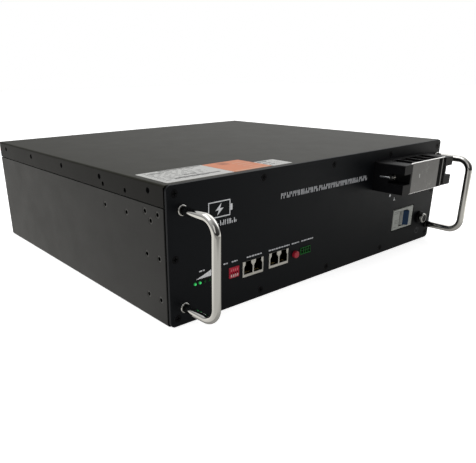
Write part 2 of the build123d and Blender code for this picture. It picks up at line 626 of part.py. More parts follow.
# Socket outline: a square mouth with slanted shoulders and a notch for the plug's latch.
RJ_MOUTH = 12.2
RJ_FLOOR = -5.4
RJ_SHOULDER = 2.2
RJ_NOTCH = 7.4
RJ_NOTCH_Z = 5.4
RJ_TOP = 7.7
RJ_DEPTH = 12.0
RJ_PROUD = 0.8
for (cx, cz), name in zip(RJ_CENTRES, ("network_socket_left", "network_socket_right")):
    with BuildPart() as socket:
        with BuildSketch(at_depth(BOARD_Y)):
            with Locations((cx, cz)):
                Rectangle(*RJ_SIZE)
        extrude(amount=BOARD_Y - FRONT + RJ_PROUD)
        chamfer(socket.faces().sort_by(Axis.Y)[0].edges(), 0.3)
        with BuildSketch(at_depth(FRONT - RJ_PROUD)):
            for side in (-1, 1):
                with Locations((cx + side * RJ_PITCH / 2, cz)):
                    Polygon(
                        (-RJ_MOUTH / 2, RJ_FLOOR),
                        (RJ_MOUTH / 2, RJ_FLOOR),
                        (RJ_MOUTH / 2, RJ_SHOULDER),
                        (RJ_NOTCH / 2, RJ_NOTCH_Z),
                        (RJ_NOTCH / 2, RJ_TOP),
                        (-RJ_NOTCH / 2, RJ_TOP),
                        (-RJ_NOTCH / 2, RJ_NOTCH_Z),
                        (-RJ_MOUTH / 2, RJ_SHOULDER),
                        align=None,
                    )
        extrude(amount=-RJ_DEPTH, mode=Mode.SUBTRACT)
    finish(socket, name)

CONTACTS = 8
CONTACT_PITCH = 1.2
CONTACT = 0.5
CONTACT_LIFT = 0.9
CONTACT_START = 2.0  # depth behind the panel's face
with BuildPart() as socket_contacts:
    for cx, cz in RJ_CENTRES:
        for side in (-1, 1):
            for i in range(CONTACTS):
                x = cx + side * RJ_PITCH / 2 + CONTACT_PITCH * (i - (CONTACTS - 1) / 2)
                z = cz + RJ_FLOOR + CONTACT_LIFT
                block(
                    (x - CONTACT / 2, x + CONTACT / 2),
                    (FRONT + CONTACT_START, FRONT - RJ_PROUD + RJ_DEPTH),
                    (z, z + CONTACT),
                )
finish(socket_contacts, "socket_contacts")

RESET_OUT = 3.4
RESET_BODY = 8.6
RESET_BODY_Y = BOARD_Y - 5.0
RESET_TRAVEL = 1.0
RESET_PLAY = 0.3
RESET_WELL = (2.0, 3.0)  # radius, depth
RESET_STEM_R = 1.9
RESET_STEM = 2.5
reset_back_y = RESET_BODY_Y - RESET_TRAVEL - RESET_PLAY
with BuildPart() as reset_switch_body:
    with BuildSketch(at_depth(BOARD_Y)):
        with Locations(RESET_CENTRE):
            Rectangle(RESET_BODY, RESET_BODY)
    extrude(amount=BOARD_Y - RESET_BODY_Y)
    with Locations(*front_places(RESET_BODY_Y, [RESET_CENTRE])):
        Cylinder(*RESET_WELL, align=BELOW, mode=Mode.SUBTRACT)
finish(reset_switch_body, "reset_switch_body")

with BuildPart() as reset_button:
    with Locations(*front_places(reset_back_y, [RESET_CENTRE])):
        Cylinder(RESET_R, reset_back_y - FRONT + RESET_OUT, align=ABOVE)
        Cylinder(RESET_STEM_R, RESET_STEM, align=BELOW)
    fillet(reset_button.faces().sort_by(Axis.Y)[0].edges(), 1.2)
finish(reset_button, "reset_button")

DRY_PROUD = 1.0
DRY_ENTRY = (2.6, 3.0)
DRY_SCREW_R = 1.15
DRY_SCREW = 4.5
DRY_SCREW_SLOT = (0.5, 0.6)  # width, depth
DRY_HOLE = 8.0
DRY_XS = [DRY_CENTRE[0] + DRY_PITCH * (i - (DRY_POLES - 1) / 2) for i in range(DRY_POLES)]
DRY_ENTRY_Z = DRY_CENTRE[1] - 1.5
DRY_SCREW_Z = DRY_CENTRE[1] + 2.2
with BuildPart() as dry_contact_connector:
    with BuildSketch(at_depth(BOARD_Y)):
        with Locations(DRY_CENTRE):
            Rectangle(*DRY_SIZE)
    extrude(amount=BOARD_Y - FRONT + DRY_PROUD)
    chamfer(dry_contact_connector.faces().sort_by(Axis.Y)[0].edges(), 0.3)
    with BuildSketch(at_depth(FRONT - DRY_PROUD)):
        with Locations(*[(x, DRY_ENTRY_Z) for x in DRY_XS]):
            Rectangle(*DRY_ENTRY)
        with Locations(*[(x, DRY_SCREW_Z) for x in DRY_XS]):
            Circle(DRY_SCREW_R + 0.05)
    extrude(amount=-DRY_HOLE, mode=Mode.SUBTRACT)
finish(dry_contact_connector, "dry_contact_connector")

with BuildPart() as dry_contact_screws:
    dry_places = front_places(FRONT + 2.0, [(x, DRY_SCREW_Z) for x in DRY_XS])
    with Locations(*dry_places):
        Cylinder(DRY_SCREW_R, DRY_SCREW, align=BELOW)
        Box(3 * DRY_SCREW_R, *DRY_SCREW_SLOT, align=BELOW, mode=Mode.SUBTRACT)
finish(dry_contact_screws, "dry_contact_screws")

# ---- Circuit breaker -----------------------------------------------------------------------------------
bx, bz = BREAKER_CENTRE
NOSE_PROUD = 0.4
POCKET_R = 10.5
POCKET = TOGGLE_LENGTH + 0.8
BARREL_R = 5.4
PIVOT_R = 2.0
BREAKER_WELL = (9.0, 13.0)  # the lead holes' length and their width and height
BREAKER_LEAD_Y = BREAKER_BACK_Y - 21.5
with BuildPart() as breaker_body:
    with BuildSketch(at_depth(BREAKER_BACK_Y)):
        with Locations(BREAKER_CENTRE):
            Rectangle(BREAKER_BODY, BREAKER_NOSE[1])
    extrude(amount=BREAKER_BACK_Y - BREAKER_SHOULDER_Y)
    with BuildSketch(at_depth(BREAKER_SHOULDER_Y)):
        with Locations(BREAKER_CENTRE):
            Rectangle(*BREAKER_NOSE)
    extrude(amount=BREAKER_SHOULDER_Y - FRONT + NOSE_PROUD)
    fillet(breaker_body.faces().sort_by(Axis.Y)[0].edges(), 0.8)
    with Locations((bx, TOGGLE_PIVOT_Y, bz)):
        Cylinder(POCKET_R, POCKET, mode=Mode.SUBTRACT)
        Cylinder(PIVOT_R, POCKET)
    well = BREAKER_WELL[1] / 2
    for side in (-1, 1):
        end = (bx + side * (BREAKER_BODY / 2 - BREAKER_WELL[0]), bx + side * BREAKER_BODY / 2)
        block(end, (BREAKER_LEAD_Y - well, BREAKER_LEAD_Y + well), (bz - well, bz + well), Mode.SUBTRACT)
finish(breaker_body, "breaker_body")

with BuildPart() as breaker_toggle:
    with BuildSketch(Plane.XY.offset(bz - TOGGLE_LENGTH / 2)):
        with Locations((bx, TOGGLE_PIVOT_Y)):
            Circle(BARREL_R)
            with Locations(Rotation(0, 0, TOGGLE_LEAN)):
                with Locations((0, -TOGGLE_TIP / 2)):
                    RectangleRounded(TOGGLE_THICK, TOGGLE_TIP, TOGGLE_THICK / 2 - 0.2)
            Circle(PIVOT_R + 0.05, mode=Mode.SUBTRACT)
    extrude(amount=TOGGLE_LENGTH)
    tip_edges = breaker_toggle.edges().filter_by(Axis.Z, reverse=True).sort_by(Axis.Y)
    fillet(tip_edges.filter_by(GeomType.CIRCLE).sort_by(Axis.Y)[:2], 1.0)
finish(breaker_toggle, "breaker_toggle")

RAIL_Y = BREAKER_BACK_Y + 0.2
RAIL_HALF = 17.5
RAIL_SHEET = 1.5
RAIL_FOOT = 9.0
RAIL_TOP = bz + 20.0
with BuildPart() as breaker_rail:
    block((bx - RAIL_HALF, bx + RAIL_HALF), (RAIL_Y, RAIL_Y + RAIL_SHEET), (SHEET, RAIL_TOP))
    block((bx - RAIL_HALF, bx + RAIL_HALF), (RAIL_Y, RAIL_Y + RAIL_FOOT), (SHEET, SHEET + RAIL_SHEET))
finish(breaker_rail, "breaker_rail")

# ---- Power button -----------------------------------------------------------------------------------------
SWITCH_BODY = 15.0
SWITCH_WELL = 1.6  # depth of the bezel's recess around the cap
STEM_R = 3.6
STEM = 9.0
STEM_WELL = 10.0
BUTTON_TRAVEL = 2.5
BUTTON_DISH = (4.0, 0.5)  # radius, depth
with BuildPart() as power_switch_housing:
    with Locations(*front_places(FRONT, [SWITCH_CENTRE])):
        Cylinder(SWITCH_BEZEL_R, SWITCH_BEZEL, align=ABOVE)
        Cylinder(SWITCH_R, PANEL + SWITCH_BODY, align=BELOW)
    chamfer(power_switch_housing.faces().sort_by(Axis.Y)[0].edges(), 0.8)
    with Locations(*front_places(FRONT - SWITCH_BEZEL, [SWITCH_CENTRE])):
        Cylinder(STEM_R + 0.15, SWITCH_BEZEL + STEM_WELL, align=BELOW, mode=Mode.SUBTRACT)
        Cylinder(BUTTON_R + 0.3, SWITCH_WELL, align=BELOW, mode=Mode.SUBTRACT)
finish(power_switch_housing, "power_switch_housing")

with BuildPart() as power_button:
    cap_back = FRONT - SWITCH_BEZEL - BUTTON_TRAVEL + SWITCH_WELL - 0.2
    with Locations(*front_places(cap_back, [SWITCH_CENTRE])):
        Cylinder(BUTTON_R, cap_back - FRONT + BUTTON_OUT, align=ABOVE)
        Cylinder(STEM_R, STEM, align=BELOW)
    fillet(power_button.faces().sort_by(Axis.Y)[0].edges(), 1.4)
    with Locations(*front_places(FRONT - BUTTON_OUT, [SWITCH_CENTRE])):
        Cylinder(*BUTTON_DISH, align=BELOW, mode=Mode.SUBTRACT)
finish(power_button, "power_button")

# ---- Output terminal block ---------------------------------------------------------------------------------
bay_ends = (TERMINAL_XS[0] + TERMINAL_EAR, TERMINAL_XS[1] - TERMINAL_EAR)
fin_xs = [BAY_FIRST + BAY_PITCH * i for i in range(1, TERMINAL_POLES)]
peg_fins = (fin_xs[0], fin_xs[-1])
TERMINAL_STUD_R = 4.0
PEG_HOLE = 8.0
with BuildPart() as terminal_block:
    with BuildSketch(at_depth(FRONT)):
        with Locations((sum(TERMINAL_XS) / 2, POLE_Z)):
            Rectangle(TERMINAL_XS[1] - TERMINAL_XS[0], TERMINAL_ZS[1] - TERMINAL_ZS[0])
    extrude(amount=TERMINAL_DEPTH)
    block(bay_ends, (FRONT - TERMINAL_DEPTH, FRONT - TERMINAL_FLOOR), TERMINAL_ZS, Mode.SUBTRACT)
    fillet(terminal_block.edges().filter_by(Axis.Y).group_by(Axis.X)[0], 1.2)
    fillet(terminal_block.edges().filter_by(Axis.Y).group_by(Axis.X)[-1], 1.2)
    for side, edge in ((1, TERMINAL_XS[0]), (-1, TERMINAL_XS[1])):
        block(
            (edge, edge + side * (TERMINAL_NOTCH_X + TERMINAL_NOTCH_EXTRA)),
            (FRONT - TERMINAL_DEPTH, FRONT - TERMINAL_NOTCH_FLOOR),
            TERMINAL_NOTCH_ZS,
            Mode.SUBTRACT,
        )
    for x in (*fin_xs, bay_ends[0] + FIN / 2, bay_ends[1] - FIN / 2):
        block((x - FIN / 2, x + FIN / 2), (FRONT - FIN_OUT, FRONT - TERMINAL_FLOOR), TERMINAL_ZS)
    with Locations(*front_places(FRONT - TERMINAL_FLOOR, [(x, POLE_Z) for x in peg_fins])):
        Cylinder(PEG_BOSS_R, FIN_OUT - TERMINAL_FLOOR, align=ABOVE)
    with Locations(*front_places(FRONT - FIN_OUT, [(x, POLE_Z) for x in peg_fins])):
        Cylinder(PEG_R + 0.05, PEG_HOLE, align=BELOW, mode=Mode.SUBTRACT)
    with Locations(*front_places(FRONT, [(x, POLE_Z) for x in POLE_XS])):
        Cylinder(TERMINAL_STUD_R + 0.1, 2 * TERMINAL_FLOOR, mode=Mode.SUBTRACT)
    with Locations(*front_places(FRONT, EAR_SCREWS)):
        Cylinder(M5_CLEAR, 2 * TERMINAL_NOTCH_FLOOR, mode=Mode.SUBTRACT)
finish(terminal_block, "terminal_block")

EAR_SCREW_HEAD = (4.4, 3.0)  # radius, height
EAR_SCREW_END = PANEL + 5.0
with BuildPart() as terminal_block_screws:
    pan_screws(
        front_places(FRONT - TERMINAL_NOTCH_FLOOR, EAR_SCREWS),
        *EAR_SCREW_HEAD,
        M5_R - THREAD_PLAY,
        TERMINAL_NOTCH_FLOOR + EAR_SCREW_END,
    )
finish(terminal_block_screws, "terminal_block_screws")

CONTACT_PLATE = (BAY_PITCH - 2 * PEG_BOSS_R - 0.6, 28.0, 2.0)
STUD_BACK = PANEL + 12.0
with BuildPart() as terminal_studs:
    with Locations(*front_places(FRONT - TERMINAL_FLOOR, [(x, POLE_Z) for x in POLE_XS])):
        Box(*CONTACT_PLATE, align=ABOVE)
        Cylinder(TERMINAL_STUD_R, TERMINAL_FLOOR + STUD_BACK, align=BELOW)
finish(terminal_studs, "terminal_studs")

WASHER = (5.8, 1.2)  # radius, thickness
TERMINAL_HEAD = (4.8, 3.6)  # radius, height
TERMINAL_RECESS = (2.8, 1.1, 2.2)  # half length, width, depth
plate_front = FRONT - TERMINAL_FLOOR - CONTACT_PLATE[2]
with BuildPart() as terminal_screws:
    with Locations(*front_places(plate_front, [(x, POLE_Z) for x in POLE_XS])):
        Cylinder(*WASHER, align=ABOVE)
    head_places = front_places(plate_front - WASHER[1], [(x, POLE_Z) for x in POLE_XS])
    with Locations(*head_places):
        Cylinder(*TERMINAL_HEAD, align=ABOVE)
    cross_recess([place * Pos(0, 0, TERMINAL_HEAD[1]) for place in head_places], *TERMINAL_RECESS)
finish(terminal_screws, "terminal_screws")

LINK_PLATE = 3.0
LINK_PLATE_WIDTH = 14.0
PLATE_TAIL = 16.0
PLATE_TAIL_ZS = (72.0, 58.0)  # lower ends of the negative and positive plates' tails
link_plate_y = PANEL_BACK + 4.0
PLATE_MID_XS = [sum(pair) / 2 for pair in (POLE_XS[:2], POLE_XS[2:])]
with BuildPart() as output_plates:
    for x, low in zip(PLATE_MID_XS, PLATE_TAIL_ZS):
        with BuildSketch(at_depth(link_plate_y)):
            with Locations((x, POLE_Z)):
                RectangleRounded(BAY_PITCH + LINK_PLATE_WIDTH, LINK_PLATE_WIDTH, 3.0)
            with Locations((x, (low + POLE_Z) / 2)):
                Rectangle(PLATE_TAIL, POLE_Z - low)
            with Locations(*[(x + side * BAY_PITCH / 2, POLE_Z) for side in (-1, 1)]):
                Circle(TERMINAL_STUD_R + 0.1, mode=Mode.SUBTRACT)
        extrude(amount=-LINK_PLATE)
finish(output_plates, "output_plates")

SWITCH_NUT = (15.0, SWITCH_R + THREAD_PLAY, 2.5)  # across flats, bore radius, height
M5_NUT = (8.0, M5_R, 4.0)
TERMINAL_NUT = (13.0, TERMINAL_STUD_R + THREAD_PLAY, 4.0)
with BuildPart() as fitting_nuts:
    hex_nuts(back_places(PANEL_BACK, [SWITCH_CENTRE]), *SWITCH_NUT)
    hex_nuts(back_places(PANEL_BACK, EAR_SCREWS), *M5_NUT)
    hex_nuts(back_places(link_plate_y + LINK_PLATE, [(x, POLE_Z) for x in POLE_XS]), *TERMINAL_NUT)
finish(fitting_nuts, "fitting_nuts")

COVER_BACK_Y = FRONT - FIN_OUT - 0.2
COVER_HEIGHT = 35.4
PEG = 6.0
with BuildPart() as terminal_cover:
    with BuildSketch(at_depth(COVER_BACK_Y)):
        with Locations((sum(bay_ends) / 2, POLE_Z)):
            RectangleRounded(bay_ends[1] - bay_ends[0] - 0.4, COVER_HEIGHT, 1.0)
    extrude(amount=COVER_PLATE)
    with Locations(*front_places(COVER_BACK_Y, [(x, POLE_Z) for x in peg_fins])):
        Cylinder(PEG_R, PEG, align=BELOW)
finish(terminal_cover, "terminal_cover")

# ---- Power wiring: pack tabs, leads and lugs ----------------------------------------------------------
LEAD_R = 4.5
TAB = 3.0
TAB_FRONT = PACK_FRONT - TIE - 5.0
TAB_LOW = 92.0
tab_xs = (CELL_XS[0], CELL_XS[-1])
with BuildPart() as pack_tabs:
    for x in tab_xs:
        span = (x - LINK_WIDTH / 2, x + LINK_WIDTH / 2)
        block(span, (TAB_FRONT, front_poles_y + LINK_WIDTH / 2), (LINK_Z, LINK_Z + LINK))
        block(span, (TAB_FRONT, TAB_FRONT + TAB), (TAB_LOW, LINK_Z))
        with Locations((x, front_poles_y, LINK_Z)):
            Cylinder(STUD_R + 0.2, 4 * LINK, mode=Mode.SUBTRACT)
finish(pack_tabs, "pack_tabs")

LUG_BARREL = 8.0
LUG_REACH = 26.0
LUG_BOLT = 18.0
LUG_WIDTH = 14.0
LUG_BOLT_HEAD = (4.6, 3.6)  # radius, height
LUG_OVERLAP = 1.0
LUG_GAP = LEAD_R + 0.8
plate_back_y = link_plate_y + LINK_PLATE
post_face_y = BMS_Y - POST
tab_lead_y = TAB_FRONT - LUG_GAP
tab_lead_z = 90.0
plate_lead_y = plate_back_y + LUG_GAP
post_lead_y = post_face_y - LUG_GAP
breaker_ends = (bx - BREAKER_BODY / 2 - 0.5, bx + BREAKER_BODY / 2 + 0.5)
plate_lead_xs = [x - LUG_BOLT for x in PLATE_MID_XS]
negative_z = BMS_POSTS[1][1]
positive_z = PLATE_TAIL_ZS[1] + 8.0
post_lead_xs = (BMS_POSTS[0][0] - LUG_BOLT, BMS_POSTS[1][0] + LUG_BOLT)

LEADS = {
    "power_leads_negative": (
        (
            [
                (tab_xs[0], tab_lead_y, tab_lead_z),
                (tab_xs[0], tab_lead_y, tab_lead_z - 22.0),
                (tab_xs[0] - 3.0, post_lead_y + 4.0, tab_lead_z - 28.0),
                (tab_xs[0] - 3.0, post_lead_y, BMS_POSTS[0][1]),
                (post_lead_xs[0], post_lead_y, BMS_POSTS[0][1]),
            ],
            [9.0, 9.0, 9.0],
        ),
        (
            [
                (post_lead_xs[1], post_lead_y, negative_z),
                (post_lead_xs[1] + 9.0, post_lead_y, negative_z),
                (plate_lead_xs[0] - 9.0, plate_lead_y, negative_z),
                (plate_lead_xs[0], plate_lead_y, negative_z),
            ],
            [14.0, 14.0],
        ),
    ),
    "power_leads_positive": (
        (
            [
                (tab_xs[1], tab_lead_y, tab_lead_z),
                (tab_xs[1], tab_lead_y, tab_lead_z - 20.0),
                (breaker_ends[1] + 15.0, BREAKER_LEAD_Y + 3.5, bz + 18.0),
                (breaker_ends[1] + 15.0, BREAKER_LEAD_Y, bz),
                (breaker_ends[1], BREAKER_LEAD_Y, bz),
            ],
            [10.0, 8.0, 8.0],
        ),
        (
            [
                (breaker_ends[0], BREAKER_LEAD_Y, bz),
                (breaker_ends[0] - 16.0, BREAKER_LEAD_Y, bz),
                (breaker_ends[0] - 16.0, BREAKER_LEAD_Y - 12.5, positive_z),
                (plate_lead_xs[1] - 16.0, plate_lead_y, positive_z),
                (plate_lead_xs[1], plate_lead_y, positive_z),
            ],
            [8.0, 9.0, 12.0],
        ),
    ),
}
for name, routes in LEADS.items():
    with BuildPart() as leads:
        for points, bends in routes:
            round_bar(points, bends, LEAD_R)
    finish(leads, name)

with BuildPart() as cable_lugs:
    for x in tab_xs:
        with Locations((x, tab_lead_y, tab_lead_z)):
            Cylinder(LEAD_R, LUG_BARREL, align=ABOVE)
        tongue_z = tab_lead_z + LUG_BARREL - LUG_OVERLAP
        block(
            (x - LUG_WIDTH / 2, x + LUG_WIDTH / 2),
            (TAB_FRONT - LUG_SHEET, TAB_FRONT),
            (tongue_z, tab_lead_z + LUG_REACH),
        )
        with Locations(*front_places(TAB_FRONT - LUG_SHEET, [(x, tab_lead_z + LUG_BOLT)])):
            Cylinder(*LUG_BOLT_HEAD, align=ABOVE)
    flat_lugs = (
        (post_lead_xs[0], 1, post_face_y - LUG_SHEET, post_lead_y, BMS_POSTS[0][1]),
        (post_lead_xs[1], -1, post_face_y - LUG_SHEET, post_lead_y, negative_z),
        (plate_lead_xs[0], 1, plate_back_y, plate_lead_y, negative_z),
        (plate_lead_xs[1], 1, plate_back_y, plate_lead_y, positive_z),
    )
    for x, way, tongue_y, barrel_y, z in flat_lugs:
        with Locations((x + way * LUG_BARREL / 2, barrel_y, z)):
            Cylinder(LEAD_R, LUG_BARREL, rotation=(0, 90, 0))
        block(
            (x + way * (LUG_BARREL - LUG_OVERLAP), x + way * LUG_REACH),
            (tongue_y, tongue_y + LUG_SHEET),
            (z - LUG_WIDTH / 2, z + LUG_WIDTH / 2),
        )
        if tongue_y == plate_back_y:
            with Locations(*back_places(plate_back_y + LUG_SHEET, [(x + LUG_BOLT, z)])):
                Cylinder(*LUG_BOLT_HEAD, align=ABOVE)
    with Locations(*front_places(post_face_y, BMS_POSTS)):
        Cylinder(STUD_R + 0.2, LUG_SHEET, align=ABOVE, mode=Mode.SUBTRACT)
    for x, way in zip(breaker_ends, (1, -1)):
        with Locations((x + way * LUG_BARREL / 2, BREAKER_LEAD_Y, bz)):
            Cylinder(LEAD_R - 0.8, LUG_BARREL, rotation=(0, 90, 0))
finish(cable_lugs, "cable_lugs")

HARNESS_R = 2.5
harness_x = (CELL_XS[0] + CELL_XS[1]) / 2
harness_z = CELL_TOP + HARNESS_R + 0.4
harness_y = BMS_Y - 8.0
RIBBON_XS = (-70.0, -50.0)
RIBBON_ZS = (54.0, 55.0)
with BuildPart() as signal_wiring:
    round_bar(
        [
            (harness_x, ROW_YS[0] - 12.0, harness_z),
            (harness_x, PACK_FRONT - 6.0, harness_z),
            (harness_x, harness_y, harness_z - 10.0),
            (harness_x, harness_y, harness_z - 24.0),
        ],
        [9.0, 9.0],
        HARNESS_R,
    )
    block(RIBBON_XS, (BOARD_Y + BOARD, BMS_Y), RIBBON_ZS)
finish(signal_wiring, "signal_wiring")

# ---- Stickers on the cover -----------------------------------------------------------------------------
STICKER = 0.15
STICKERS = {
    "stickers_white": (((-213.5, -135.9), (9.0, 61.0)), ((-85.6, -57.5), (8.0, 37.0))),
    "sticker_orange": (((-135.5, -86.0), (9.0, 60.0)),),
}
for name, outlines in STICKERS.items():
    with BuildPart() as sticker:
        for xs, depths in outlines:
            block(xs, [FRONT + depth for depth in depths], (HEIGHT, HEIGHT + STICKER))
    finish(sticker, name)
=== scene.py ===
from math import cos, pi, radians, sin
from random import Random

import bmesh
import bpy
from mathutils import Matrix, Vector


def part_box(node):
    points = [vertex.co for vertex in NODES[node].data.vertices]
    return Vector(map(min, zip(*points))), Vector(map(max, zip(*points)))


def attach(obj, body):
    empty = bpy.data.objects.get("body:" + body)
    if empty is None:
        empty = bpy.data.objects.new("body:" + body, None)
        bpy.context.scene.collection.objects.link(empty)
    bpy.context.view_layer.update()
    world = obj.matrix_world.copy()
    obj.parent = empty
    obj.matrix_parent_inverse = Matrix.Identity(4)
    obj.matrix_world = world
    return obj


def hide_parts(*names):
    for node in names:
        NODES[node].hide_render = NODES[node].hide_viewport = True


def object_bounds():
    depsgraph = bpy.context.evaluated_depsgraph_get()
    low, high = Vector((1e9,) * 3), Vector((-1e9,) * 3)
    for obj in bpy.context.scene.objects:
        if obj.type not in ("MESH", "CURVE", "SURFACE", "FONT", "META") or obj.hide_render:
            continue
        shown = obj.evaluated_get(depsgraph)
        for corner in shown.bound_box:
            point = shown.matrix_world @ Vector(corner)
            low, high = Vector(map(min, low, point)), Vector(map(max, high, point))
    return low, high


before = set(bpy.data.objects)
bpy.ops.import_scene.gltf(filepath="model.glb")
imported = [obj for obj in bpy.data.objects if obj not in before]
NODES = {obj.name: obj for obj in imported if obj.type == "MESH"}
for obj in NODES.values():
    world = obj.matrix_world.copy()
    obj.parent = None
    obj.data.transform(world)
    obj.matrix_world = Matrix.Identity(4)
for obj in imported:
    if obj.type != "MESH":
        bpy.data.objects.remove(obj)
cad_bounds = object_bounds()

MM = 0.001


# ---- Camera -------------------------------------------------------------------------------------
AZIMUTH = radians(-38.242)
ELEVATION = radians(21.75)
ROLL = radians(-0.84)
CAMERA_AT = Vector((-0.46515, -0.53070, 0.22155))
FOCAL = 1.0943  # in widths of the picture
SENSOR = 36.0
SHIFT = (0.0798, 0.0973)


def make_camera():
    data = bpy.data.cameras.new("camera")
    data.sensor_fit = "HORIZONTAL"
    data.sensor_width = SENSOR
    data.lens = FOCAL * SENSOR
    data.shift_x, data.shift_y = SHIFT
    data.clip_start = 0.01
    back = Vector(
        (
            sin(AZIMUTH) * cos(ELEVATION),
            -cos(AZIMUTH) * cos(ELEVATION),
            sin(ELEVATION),
        )
    )
    right = (-back).cross(Vector((0, 0, 1))).normalized()
    up = right.cross(-back)
    tilted_right = cos(ROLL) * right + sin(ROLL) * up
    tilted_up = cos(ROLL) * up - sin(ROLL) * right
    camera = bpy.data.objects.new("camera", data)
    camera.rotation_mode = "QUATERNION"
    camera.rotation_quaternion = Matrix((tilted_right, tilted_up, back)).transposed().to_quaternion()
    camera.location = CAMERA_AT
    bpy.context.scene.collection.objects.link(camera)
    bpy.context.scene.camera = camera


# ---- Shader graphs ------------------------------------------------------------------------------
class Graph:
    """Builds a node tree. A socket's value may be a number, a colour or another node's output."""

    def __init__(self, tree, fresh=True):
        self.tree = tree
        self.place = None
        if fresh:
            tree.nodes.clear()

    def add(self, kind, settings=None, **values):
        made = self.tree.nodes.new("ShaderNode" + kind)
        for key, value in (settings or {}).items():
            setattr(made, key, value)
        for key, value in values.items():
            self.put(made, key.replace("_", " "), value)
        return made

    def put(self, node, name, value):
        socket = node.inputs[int(name)] if name.isdigit() else node.inputs[name]
        if isinstance(value, bpy.types.NodeSocket):
            self.tree.links.new(value, socket)
        elif socket.type == "RGBA":
            socket.default_value = (*value[:3], 1.0)
        else:
            socket.default_value = value

    def math(self, operation, first, second=0.0, third=0.0):
        made = self.tree.nodes.new("ShaderNodeMath")
        made.operation = operation
        for index, value in enumerate((first, second, third)):
            self.put(made, str(index), value)
        return made.outputs[0]

    def mix(self, share, first, second):
        made = self.tree.nodes.new("ShaderNodeMix")
        made.data_type = "RGBA"
        for name, value in (("Factor", share), ("A", first), ("B", second)):
            named = [socket for socket in made.inputs if socket.name == name]
            found = named[0] if name == "Factor" else [s for s in named if s.type == "RGBA"][0]
            if isinstance(value, bpy.types.NodeSocket):
                self.tree.links.new(value, found)
            elif name == "Factor":
                found.default_value = value
            else:
                found.default_value = (*value[:3], 1.0)
        return [s for s in made.outputs if s.type == "RGBA"][0]

    def here(self):
        if self.place is None:
            self.place = self.add("TexCoord").outputs["Object"]
        return self.place

    def axis(self, name):
        split = self.add("SeparateXYZ", Vector=self.here())
        return split.outputs[name]

    def noise(self, scale, detail=2.0, roughness=0.5, stretch=None):
        where = self.here()
        if stretch:
            where = self.add("Mapping", Vector=where, Scale=stretch).outputs[0]
        made = self.add("TexNoise", Vector=where, Scale=scale, Detail=detail, Roughness=roughness)
        return made.outputs[0]

    def ranged(self, value, low, high, start=0.3, stop=0.7):
        """Runs from low to high while value runs from start to stop."""
        made = self.add("MapRange", {"clamp": True}, Value=value)
        ends = {"From Min": start, "From Max": stop, "To Min": low, "To Max": high}
        for name, number in ends.items():
            self.put(made, name, number)
        return made.outputs[0]

    def times(self, first, second):
        return self.math("MULTIPLY", first, second)

    def between(self, value, low, high):
        above = self.math("GREATER_THAN", value, low)
        return self.times(above, self.math("LESS_THAN", value, high))

    def square_sum(self, first, second):
        return self.math("ADD", self.times(first, first), self.times(second, second))


# The black that painted shade is given.
SHADE_BLACK = (0.001, 0.001, 0.001)


def scaled(colour, by):
    return tuple(min(1.0, c * by) for c in colour)


def surface(
    name,
    colour,
    rough,
    metal=0.0,
    specular=0.5,
    spread=0.15,
    rough_spread=0.05,
    grain=1400.0,
    bump=0.15,
    height=0.05,
    blotch=35.0,
    stretch=None,
    rounding=0.0,
    recolour=None,
    painted_shade=None,
    **fixed,
):
    """A material whose colour and roughness drift and whose grain stands up in relief.

    colour is the mean, spread its drift, grain and blotch are noise scales per metre, height is
    the relief in mm, and rounding is the radius in mm of the light that sharp edges catch.
    recolour(graph, colour) may repaint parts, and where the shade mask is 1 the surface is painted
    as deep shade: black and metallic, so that it reflects next to nothing, like a deep gap.
    """
    made = bpy.data.materials.new(name)
    made.use_nodes = True
    graph = Graph(made.node_tree)
    broad = graph.noise(blotch, 3.0, 0.6)
    fine = graph.noise(grain, 2.0, 0.5, stretch)
    dark, pale = scaled(colour, 1 - spread), scaled(colour, 1 + spread)
    drift = graph.mix(graph.ranged(broad, 0.0, 1.0), dark, pale)
    speckle = graph.mix(graph.ranged(fine, 0.0, 1.0), drift, scaled(colour, 1 + spread / 2))
    painted = recolour(graph, speckle) if recolour else speckle
    blend = graph.math("ADD", graph.times(broad, 0.6), graph.times(fine, 0.4))
    smoothest, roughest = max(0.0, rough - rough_spread), rough + rough_spread
    shader = graph.add("BsdfPrincipled")
    graph.put(shader, "Roughness", graph.ranged(blend, smoothest, roughest))
    shader.inputs["Metallic"].default_value = metal
    # Painted shade: where the mask is 1 the surface turns black and metallic.
    if painted_shade:
        shaded = painted_shade(graph)
        graph.put(shader, "Metallic", shaded)
        painted = graph.mix(shaded, painted, SHADE_BLACK)
    graph.put(shader, "Base Color", painted)
    shader.inputs["Specular IOR Level"].default_value = specular
    for key, value in fixed.items():
        socket = shader.inputs[key.replace("_", " ")]
        socket.default_value = (*value, 1.0) if socket.type == "RGBA" else value
    relief = graph.add("Bump", Strength=bump, Distance=height * MM, Height=fine)
    if rounding:
        edge = graph.add("Bevel", {"samples": 4}, Radius=rounding * MM)
        graph.put(relief, "Normal", edge.outputs[0])
    graph.put(shader, "Normal", relief.outputs[0])
    out = graph.add("OutputMaterial")
    graph.put(out, "Surface", shader.outputs[0])
    made["graph_shader"] = shader.name
    return made


def reopened(material):
    """The graph of a finished material, and its shader."""
    graph = Graph(material.node_tree, fresh=False)
    return graph, graph.tree.nodes[material["graph_shader"]]


def lit(material, mask_of, colour):
    """Adds a glow of that colour where mask_of(graph) is 1."""
    graph, shader = reopened(material)
    graph.put(shader, "Emission Color", colour)
    graph.put(shader, "Emission Strength", mask_of(graph))


# ---- Mesh helpers -------------------------------------------------------------------------------
def shade(mesh, angle=40.0):
    for face in mesh.polygons:
        face.use_smooth = True
    mesh.set_sharp_from_angle(angle=radians(angle))


